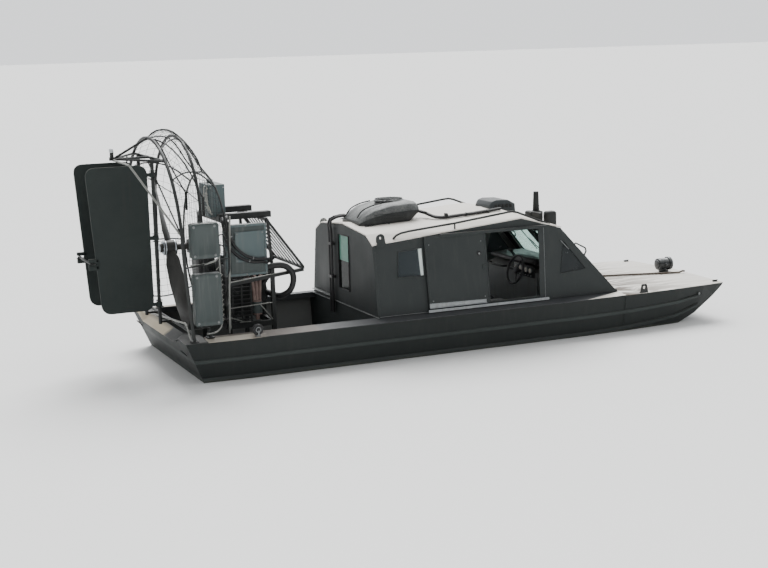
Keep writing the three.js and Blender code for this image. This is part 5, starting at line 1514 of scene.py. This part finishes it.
def makeBoxes(look):
    heads, lids, braces = [], [], []
    for node, x0, x1, z0, z1 in (
            ('side_box_upper', 0.098, 0.402, 1.5, 1.868), ('side_box_lower', 0.107, 0.402, 0.78, 1.335)):
        renewed(node, node + '_shell', greyBox, 34, 0.01, 3, 0.0006)
        lid = slab((x0 + 0.01, look['face'], z0 + 0.01), (x1 - 0.01, -1.2045, z1 - 0.01), 0.002)
        inset = look['inset']
        insetFaces(lid, (0, -1, 0), (inset, 0.0), (0.003, -0.0025))
        lids.append(lid)
        places = [at(x, look['face'], z) for x in (x0 + inset, x1 - 0.05) for z in (z0 + inset, z1 - inset)]
        heads.append(bolts('box_bolts', look['bolt'], places, (0, -1, 0)))
        low = [at(x0 + 0.02 + i * (x1 - x0 - 0.04) / 3, -1.15, z1 + 0.0005) for i in range(4)]
        heads.append(bolts('box_bolts', look['bolt'] * 0.7, low, (0, 0, 1)))
        for i in range(4):
            y = -1.185 + i * 0.022
            lids.append(slab((x1 - 0.001, y, z0 + 0.05), (x1 + 0.002, y + 0.01, z1 - 0.05), 0.001, 1))
        braces.append(slab((x0 + 0.03, -1.15, z0 - 0.012), (x1 - 0.03, -1.12, z0 - 0.0005), 0.002))
    piece('box_lids', lids, greyBox)
    piece('box_bolts', heads, dullBolt)
    piece('box_braces', braces, darkMetal)

    lace = []
    for first, last in (
            ((0.425, -1.13, 0.79), (0.425, -1.13, 1.325)), ((0.425, -1.11, 1.505), (0.425, -1.06, 1.865))):
        count = int((last[2] - first[2]) / look['pitch'])
        points = []
        for i in range(count * 2 + 1):
            share = i / (count * 2)
            swing = 0.02 if i % 2 else -0.02
            x, y, z = (a + (b - a) * share for a, b in zip(first, last))
            points.append((x + swing, y + swing, z))
        lace.append(bar(points, look['wire'], 1))
    piece('box_lacing', lace, paleCable)

    pale = [
        [(0.1, -1.125, 1.425), (0.208, -1.12, 1.424), (0.319, -1.11, 1.436), (0.4, -1.08, 1.458),
        (0.45, -1.02, 1.51), (0.47, -0.98, 1.6)],
        [(0.445, -1.02, 1.62), (0.445, -1.03, 1.3), (0.44, -1.05, 0.9), (0.425, -1.06, 0.74), (0.37, -1.08, 0.685),
        (0.25, -1.1, 0.672)]]
    made = [hose(points, 0.0095, 3) for points in pale]
    for points, radius in (
            ([(0.636, -0.85, 1.88), (0.623, -0.85, 1.619), (0.609, -0.85, 1.318), (0.591, -0.85, 0.94),
            (0.579, -0.85, 0.6)], 0.01),
            ([(0.673, -0.7, 1.8), (0.648, -0.7, 1.273), (0.64, -0.7, 0.64)], 0.007),
            ([(0.31, -0.85, 1.86), (0.31, -0.85, 2.08)], 0.008),
            ([(0.579, -0.85, 0.62), (0.64, -0.7, 0.64), (0.69, -0.5, 0.64)], 0.008),
            ([(0.636, -0.85, 1.87), (0.673, -0.7, 1.8), (0.7, -0.4, 1.8)], 0.008)):
        made.append(hose(points, radius, 3))
    for points in (
            [(0.7, -0.53, 0.81), (1.19, -0.53, 0.832)], [(0.7, -0.53, 1.1), (1.55, -0.512, 1.186)],
            [(0.66, -0.7, 1.27), (0.7, -0.53, 1.27)], [(0.8, -0.53, 0.64), (0.93, -0.53, 0.64)],
            [(0.64, -0.69, 0.74), (0.86, -0.54, 0.64)], [(1.05, -0.53, 0.82), (1.19, -0.53, 0.64)]):
        made.append(bar(points, 0.0065))
    piece('box_tubes', made, paleTube)
    dashes = []
    for i in range(19):
        z = 0.78 + 0.056 * i
        if not 1.34 < z < 1.5:
            dashes.append(bar([(0.405, -1.02, z), (0.45, -1.0, z + 0.03)], 0.0045, 1))
    piece('lacing_ties', dashes, paleCable)
    dark = [
        [(0.4, -1.1, 1.7), (0.47, -1.06, 1.72), (0.53, -0.98, 1.66), (0.57, -0.86, 1.6), (0.62, -0.7, 1.62),
        (0.67, -0.56, 1.7)],
        [(0.4, -1.09, 1.62), (0.48, -1.04, 1.6), (0.54, -0.94, 1.5), (0.58, -0.8, 1.44), (0.64, -0.62, 1.42),
        (0.68, -0.54, 1.36)],
        [(0.4, -1.08, 1.2), (0.47, -1.03, 1.18), (0.53, -0.93, 1.1), (0.58, -0.78, 1.06), (0.66, -0.6, 1.07)],
        [(0.4, -1.08, 1.05), (0.48, -1.02, 1.0), (0.54, -0.9, 0.92), (0.6, -0.74, 0.9), (0.69, -0.55, 0.94)],
        [(0.4, -1.07, 0.9), (0.46, -1.03, 0.84), (0.52, -0.94, 0.78), (0.6, -0.8, 0.76), (0.69, -0.54, 0.8)],
        [(0.3, -1.1, 1.5), (0.3, -1.085, 1.45), (0.29, -1.08, 1.4), (0.3, -1.1, 1.335)],
        [(0.22, -1.1, 1.5), (0.21, -1.088, 1.44), (0.22, -1.08, 1.39), (0.22, -1.1, 1.335)]]
    piece('box_cables', [hose(points, 0.0075) for points in dark], blackRubber)


makeBoxes(boxLook)


# The roller on the side deck, and the bolts at the hoops' feet
def makeDeckRoller():
    wheel = disc(at(0.8, -1.15, 0.672), 0.062, 0.045, (0, 1, 0), 36, 0.012)
    insetFaces(wheel, (0, -1, 0), (0.016, -0.006))
    piece('side_roller', [wheel], blackRubber)
    ring = [at(0.8 + 0.026 * math.cos(a), -1.172, 0.672 + 0.026 * math.sin(a)) for a in turns(30, 13)]
    centre = [tube(ring, 0.006), slab((0.775, -1.18, 0.5985), (0.825, -1.12, 0.6125), 0.002)]
    centre += [slab((0.792, y - 0.004, 0.6095), (0.808, y + 0.004, 0.665), 0.002) for y in (-1.18, -1.122)]
    piece('roller_mount', centre, dullBolt)
    stern = []
    for side in (-1, 1):
        for x, y in ((0.1, 1.125), (0.3, 1.04)):
            stern.append(bolts('hoop_bolts', 0.0075, corners(x, side * y, 0.6235, 0.03, 0.028), (0, 0, 1)))
    piece('hoop_bolts', stern, dullBolt)


makeDeckRoller()
print("engine bay made")


# Camera at the photograph's angle

cameraLook = {'place': (-6.97, -15.25, 3.7), 'yaw': 23.63, 'pitch': 9.85, 'roll': -1.53, 'pixels': 1400.0}


def makeCamera(look):
    yaw, pitch, roll = (math.radians(look[key]) for key in ('yaw', 'pitch', 'roll'))
    forward = Vector((math.sin(yaw) * math.cos(pitch), math.cos(yaw) * math.cos(pitch), -math.sin(pitch)))
    level = Vector((math.cos(yaw), -math.sin(yaw), 0.0))
    upright = level.cross(forward)
    right = level * math.cos(roll) + upright * math.sin(roll)
    up = upright * math.cos(roll) - level * math.sin(roll)
    bpy.ops.object.camera_add()
    camera = bpy.context.object
    camera.matrix_world = Matrix.Translation(look['place']) @ Matrix((right, up, -forward)).transposed().to_4x4()
    camera.data.sensor_width = 36.0
    camera.data.lens = look['pixels'] / 768.0 * 36.0
    camera.data.clip_end = 900.0
    bpy.context.scene.camera = camera


makeCamera(cameraLook)


# Light: a pale sky, brighter ahead and to port, a soft sun high on that side, a weak light by the camera

lightLook = {'sky': (0.96, 0.98, 1.0), 'near': 0.38, 'far': 1.42, 'high': 4.4, 'spread': 40.0, 'side': 320.0}


def makeLights(look):
    world = bpy.context.scene.world or bpy.data.worlds.new('sky')
    bpy.context.scene.world = world
    world.use_nodes = True
    tree = world.node_tree
    background = tree.nodes['Background']
    background.inputs[0].default_value = (*look['sky'], 1.0)
    toward = vector(tree, 'DOT_PRODUCT', put(tree, 'TexCoord').outputs['Generated'], (0.45, 0.89, 0.0))['Value']
    bright = put(tree, 'MapRange', {'clamp': True}, {
        'Value': toward, 'From Min': -0.6, 'From Max': 0.6, 'To Min': look['near'], 'To Max': look['far']})
    tree.links.new(bright.outputs[0], background.inputs[1])
    for kind, name, place in (('SUN', 'high', (3.0, 7.0, 10.0)), ('AREA', 'side', (-3.0, -17.0, 7.0))):
        bpy.ops.object.light_add(type=kind, location=place)
        lamp = bpy.context.object
        lamp.name = name + 'Light'
        lamp.data.energy = look[name]
        if kind == 'SUN':
            lamp.data.angle = math.radians(look['spread'])
        else:
            lamp.data.size = 8.0
        lamp.rotation_euler = (Vector((0.0, 0.0, 0.8)) - Vector(place)).to_track_quat('-Z', 'Y').to_euler()


makeLights(lightLook)


# Floor at the waterline, open where the hull stands through it

floorLook = {'size': 700.0, 'colour': (0.9, 0.9, 0.885)}
waterline = [  # forward from the origin, half width
    (0.1907, 1.095), (0.69, 1.124), (4.9, 1.124), (5.568, 1.098), (6.245, 1.042), (6.339, 1.027)]


def makeFloor(look):
    bpy.ops.mesh.primitive_plane_add(size=look['size'], location=(0.0, 0.0, waterHeight))
    floor = bpy.context.object
    floor.name = 'floor'
    modified(floor, 'SOLIDIFY', thickness=0.02, offset=-1.0)
    outline = [(x - station, -half) for x, half in waterline] + [(x - station, half) for x, half in waterline[::-1]]
    pierced(floor, extruded([(x, y, waterHeight - 0.2) for x, y in outline], (0.0, 0.0, 0.4)))
    material, _, shader = startMaterial('paleFloor')
    shader.inputs['Base Color'].default_value = (*look['colour'], 1.0)
    shader.inputs['Roughness'].default_value = 0.9
    floor.data.materials.append(material)


makeFloor(floorLook)
print("camera, lights and floor made")
